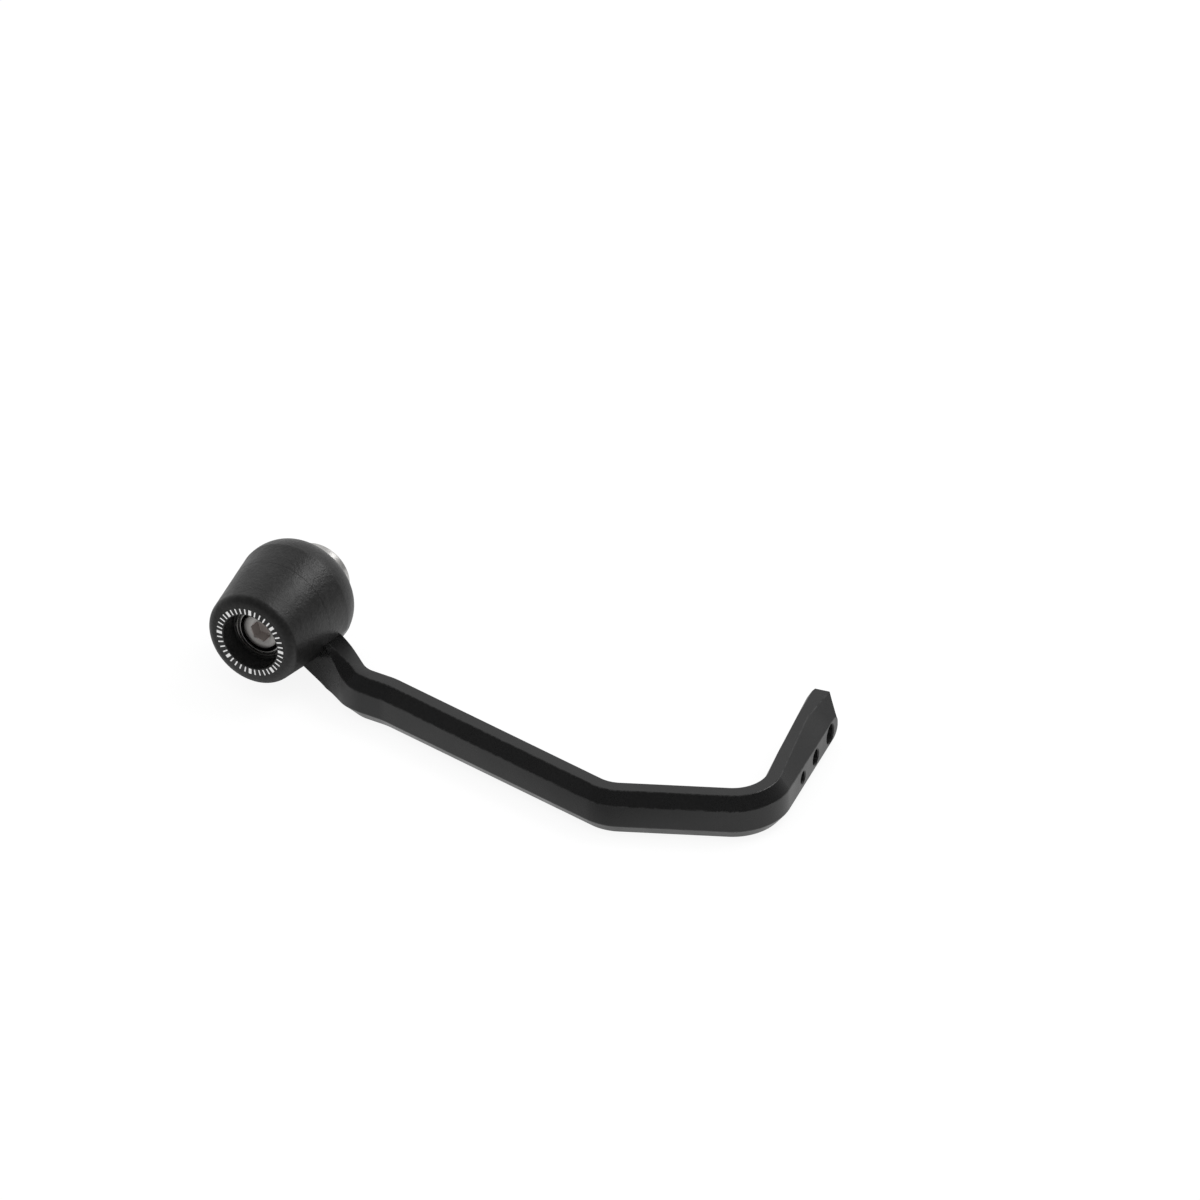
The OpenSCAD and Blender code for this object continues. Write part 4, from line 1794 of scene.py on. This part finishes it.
@dataclass(frozen=True)
class Studio:
    """Camera, floor, world and lamps.

    Attributes:
        right: direction to the right of the picture.
        up: direction to the top of the picture.
        centre: point of the part at the middle of the picture.
        width: width of the picture at that point.
        lens: focal length, long enough for a view without perspective.
        sensor: width of the sensor.
        floor_z: height of the floor in metres.
        shade: middle of the floor's shaded place under the bobbin.
        shade_near: distance within which reflections see that place dim.
        shade_far: distance beyond which they see the open floor.
        open_share: share of plain light in the floor that reflections see there and further out.
        front_near: X at which the floor before the outer face begins to dim in reflections.
        front_far: X at which it is dim.
        paper: brightness of the floor, plain and in reflections of its front.
        mirror_glow: strength of its light in reflections, plain and in front.
        camera_share: share of plain white in the floor that the camera sees.
        camera_white: strength of that white.
        fill: brightness of the room for diffuse light.
        sides: the dimmer sides of the room: behind the camera, left, right and far right.
        lamp_place: place of the lamp in metres.
        lamp_size: its width in metres.
        lamp_watts: its power.
    """

    right: Point3 = (-0.5, 0.8660254, 0.0)
    up: Point3 = (-0.5, -0.2886751, 0.8164966)
    centre: Point3 = (-29.86, 66.47, 0.0)
    width: float = 299.5
    lens: float = 1200.0
    sensor: float = 36.0
    floor_z: float = -0.0172
    shade: Point2 = (15.0, 0.0)
    shade_near: float = 13.0
    shade_far: float = 25.0
    open_share: Point2 = (0.1, 0.8)
    front_near: float = 34.0
    front_far: float = 52.0
    paper: Point2 = (0.84, 0.3)
    mirror_glow: Point2 = (0.8, 0.3)
    camera_share: float = 0.82
    camera_white: float = 1.08
    fill: float = 0.82
    sides: tuple[RoomSide, ...] = (
        RoomSide((0.72, 0.33, 0.6), -0.35, 0.6, 0.78, 0.03), RoomSide((0.0, -1.0, 0.0), 0.5, 1.0, 1.0, 0.45),
        RoomSide((-0.1, 1.0, -0.1), 0.42, 0.95, 1.0, 0.24), RoomSide((-0.72, 0.62, 0.3), 0.8, 0.97, 1.0, 0.72))
    lamp_place: Point3 = (-0.62, 0.52, 1.03)
    lamp_size: float = 0.6
    lamp_watts: float = 4.0

    def camera(self) -> bpy.types.Object:
        """Puts the camera at the photograph's viewing angle."""
        right, up = Vector(self.right), Vector(self.up)
        back = right.cross(up).normalized()
        data = bpy.data.cameras.new("camera")
        data.lens = self.lens
        data.sensor_width = self.sensor
        distance = self.width * MM * self.lens / self.sensor
        data.clip_start = 0.1
        data.clip_end = distance * 3
        cam = bpy.data.objects.new("camera", data)
        bpy.context.scene.collection.objects.link(cam)
        cam.matrix_world = Matrix((right, up, back)).transposed().to_4x4()
        cam.location = Vector(self.centre) * MM + back * distance
        bpy.context.scene.camera = cam
        return cam

    def floor(self) -> bpy.types.Object:
        """Lays a pale floor that shows white and keeps the part's shadow."""
        reach, z = 6000.0, self.floor_z / MM
        corners = [(-reach, -reach, z), (reach, -reach, z), (reach, reach, z), (-reach, reach, z)]
        obj = new_object("floor", corners, [(0, 1, 2, 3)])
        mat = bpy.data.materials.new("floor_paper")
        mat.use_nodes = True
        g = NodeGraph(mat.node_tree)
        shader = mat.node_tree.nodes["Principled BSDF"]
        shader.inputs["Roughness"].default_value = 0.9
        shader.inputs["Specular IOR Level"].default_value = 0.0
        here = g.here()
        g.link(g.bump(g.noise(here, 900.0, 3.0, 0.6), 0.02 * MM), shader.inputs["Normal"])
        path = g.add("ShaderNodeLightPath")
        camera = path.outputs["Is Camera Ray"]
        mirrored = g.math("MAXIMUM", path.outputs["Is Glossy Ray"], path.outputs["Is Transmission Ray"])
        away = g.add("ShaderNodeVectorMath", operation="DISTANCE")
        g.link(here, away.inputs[0])
        away.inputs[1].default_value = (self.shade[0] * MM, self.shade[1] * MM, self.floor_z)
        open_floor = g.ramp(away.outputs["Value"], self.shade_near * MM, self.shade_far * MM, *self.open_share)
        front = g.times(mirrored, g.ramp(g.split(here)["X"], self.front_near * MM, self.front_far * MM))
        g.link(g.mix_color(front, grey(self.paper[0]), grey(self.paper[1])), shader.inputs["Base Color"])
        share = g.math("MULTIPLY_ADD", camera, self.camera_share, g.times(mirrored, open_floor))
        glow = g.add("ShaderNodeEmission")
        plain, dim = self.mirror_glow
        shine = g.math("MULTIPLY_ADD", front, dim - plain, plain)
        g.link(g.ramp(camera, 0.0, 1.0, shine, self.camera_white), glow.inputs["Strength"])
        mix = g.add("ShaderNodeMixShader")
        for socket, source in zip(mix.inputs, (share, shader.outputs[0], glow.outputs[0])):
            g.link(source, socket)
        g.link(mix.outputs[0], mat.node_tree.nodes["Material Output"].inputs["Surface"])
        obj.data.materials.append(mat)
        return obj

    def facing(self, g: NodeGraph, heading: Any, direction: Point3) -> Any:
        """Returns how far a heading points along a direction, from -1 to 1.

        Args:
            g: graph of the world.
            heading: socket of the heading.
            direction: the direction.

        Returns:
            The socket of the cosine.
        """
        node = g.add("ShaderNodeVectorMath", operation="DOT_PRODUCT")
        g.link(heading, node.inputs[0])
        node.inputs[1].default_value = Vector(direction).normalized()
        return node.outputs["Value"]

    def world(self) -> None:
        """Lights the room softly, with dimmer sides and a dark side behind the photographer."""
        world = bpy.data.worlds.new("studio")
        world.use_nodes = True
        bpy.context.scene.world = world
        g = NodeGraph(world.node_tree)
        background = world.node_tree.nodes["Background"]
        heading = g.add("ShaderNodeTexCoord").outputs["Generated"]
        room: Any = 1.0
        for side in self.sides:
            near = self.facing(g, heading, side.direction)
            room = g.times(room, g.ramp(near, side.start, side.full, side.away, side.level))
        path = g.add("ShaderNodeLightPath")
        lit = g.mix_color(path.outputs["Is Diffuse Ray"], room, grey(self.fill))
        shown = g.mix_color(path.outputs["Is Camera Ray"], lit, grey(1.0))
        g.link(shown, background.inputs["Color"])
        background.inputs["Strength"].default_value = 1.0

    def lamp(self) -> bpy.types.Object:
        """Hangs a soft square lamp above and behind the part, pointed at it."""
        data = bpy.data.lights.new("top_lamp", "AREA")
        data.shape = "SQUARE"
        data.size = self.lamp_size
        data.energy = self.lamp_watts
        obj = bpy.data.objects.new("top_lamp", data)
        bpy.context.scene.collection.objects.link(obj)
        obj.location = self.lamp_place
        aim = Vector(self.centre) * MM - Vector(self.lamp_place)
        obj.rotation_euler = aim.to_track_quat("-Z", "Y").to_euler()
        return obj

    def build(self) -> None:
        """Builds the whole studio."""
        scene = bpy.context.scene
        scene.view_settings.view_transform = "Standard"
        self.camera()
        self.floor()
        self.world()
        self.lamp()


def main() -> None:
    """Builds every sub-assembly round the frame and then the studio."""
    logging.basicConfig(level=logging.INFO, format="%(name)s %(message)s", force=True)
    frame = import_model()
    LOG.info("frame with nodes %s", ", ".join(sorted(frame["nodes"])))
    shop = Workshop(SharedEffects())
    Studio().build()
    blade, bobbin = GuardBlade(), NylonBobbin()
    blade.build(shop, bobbin.outside)
    bobbin.build(shop, blade)
    SteelCore().build(shop)
    ClampScrew().build(shop)


if __name__ == "__main__":
    main()
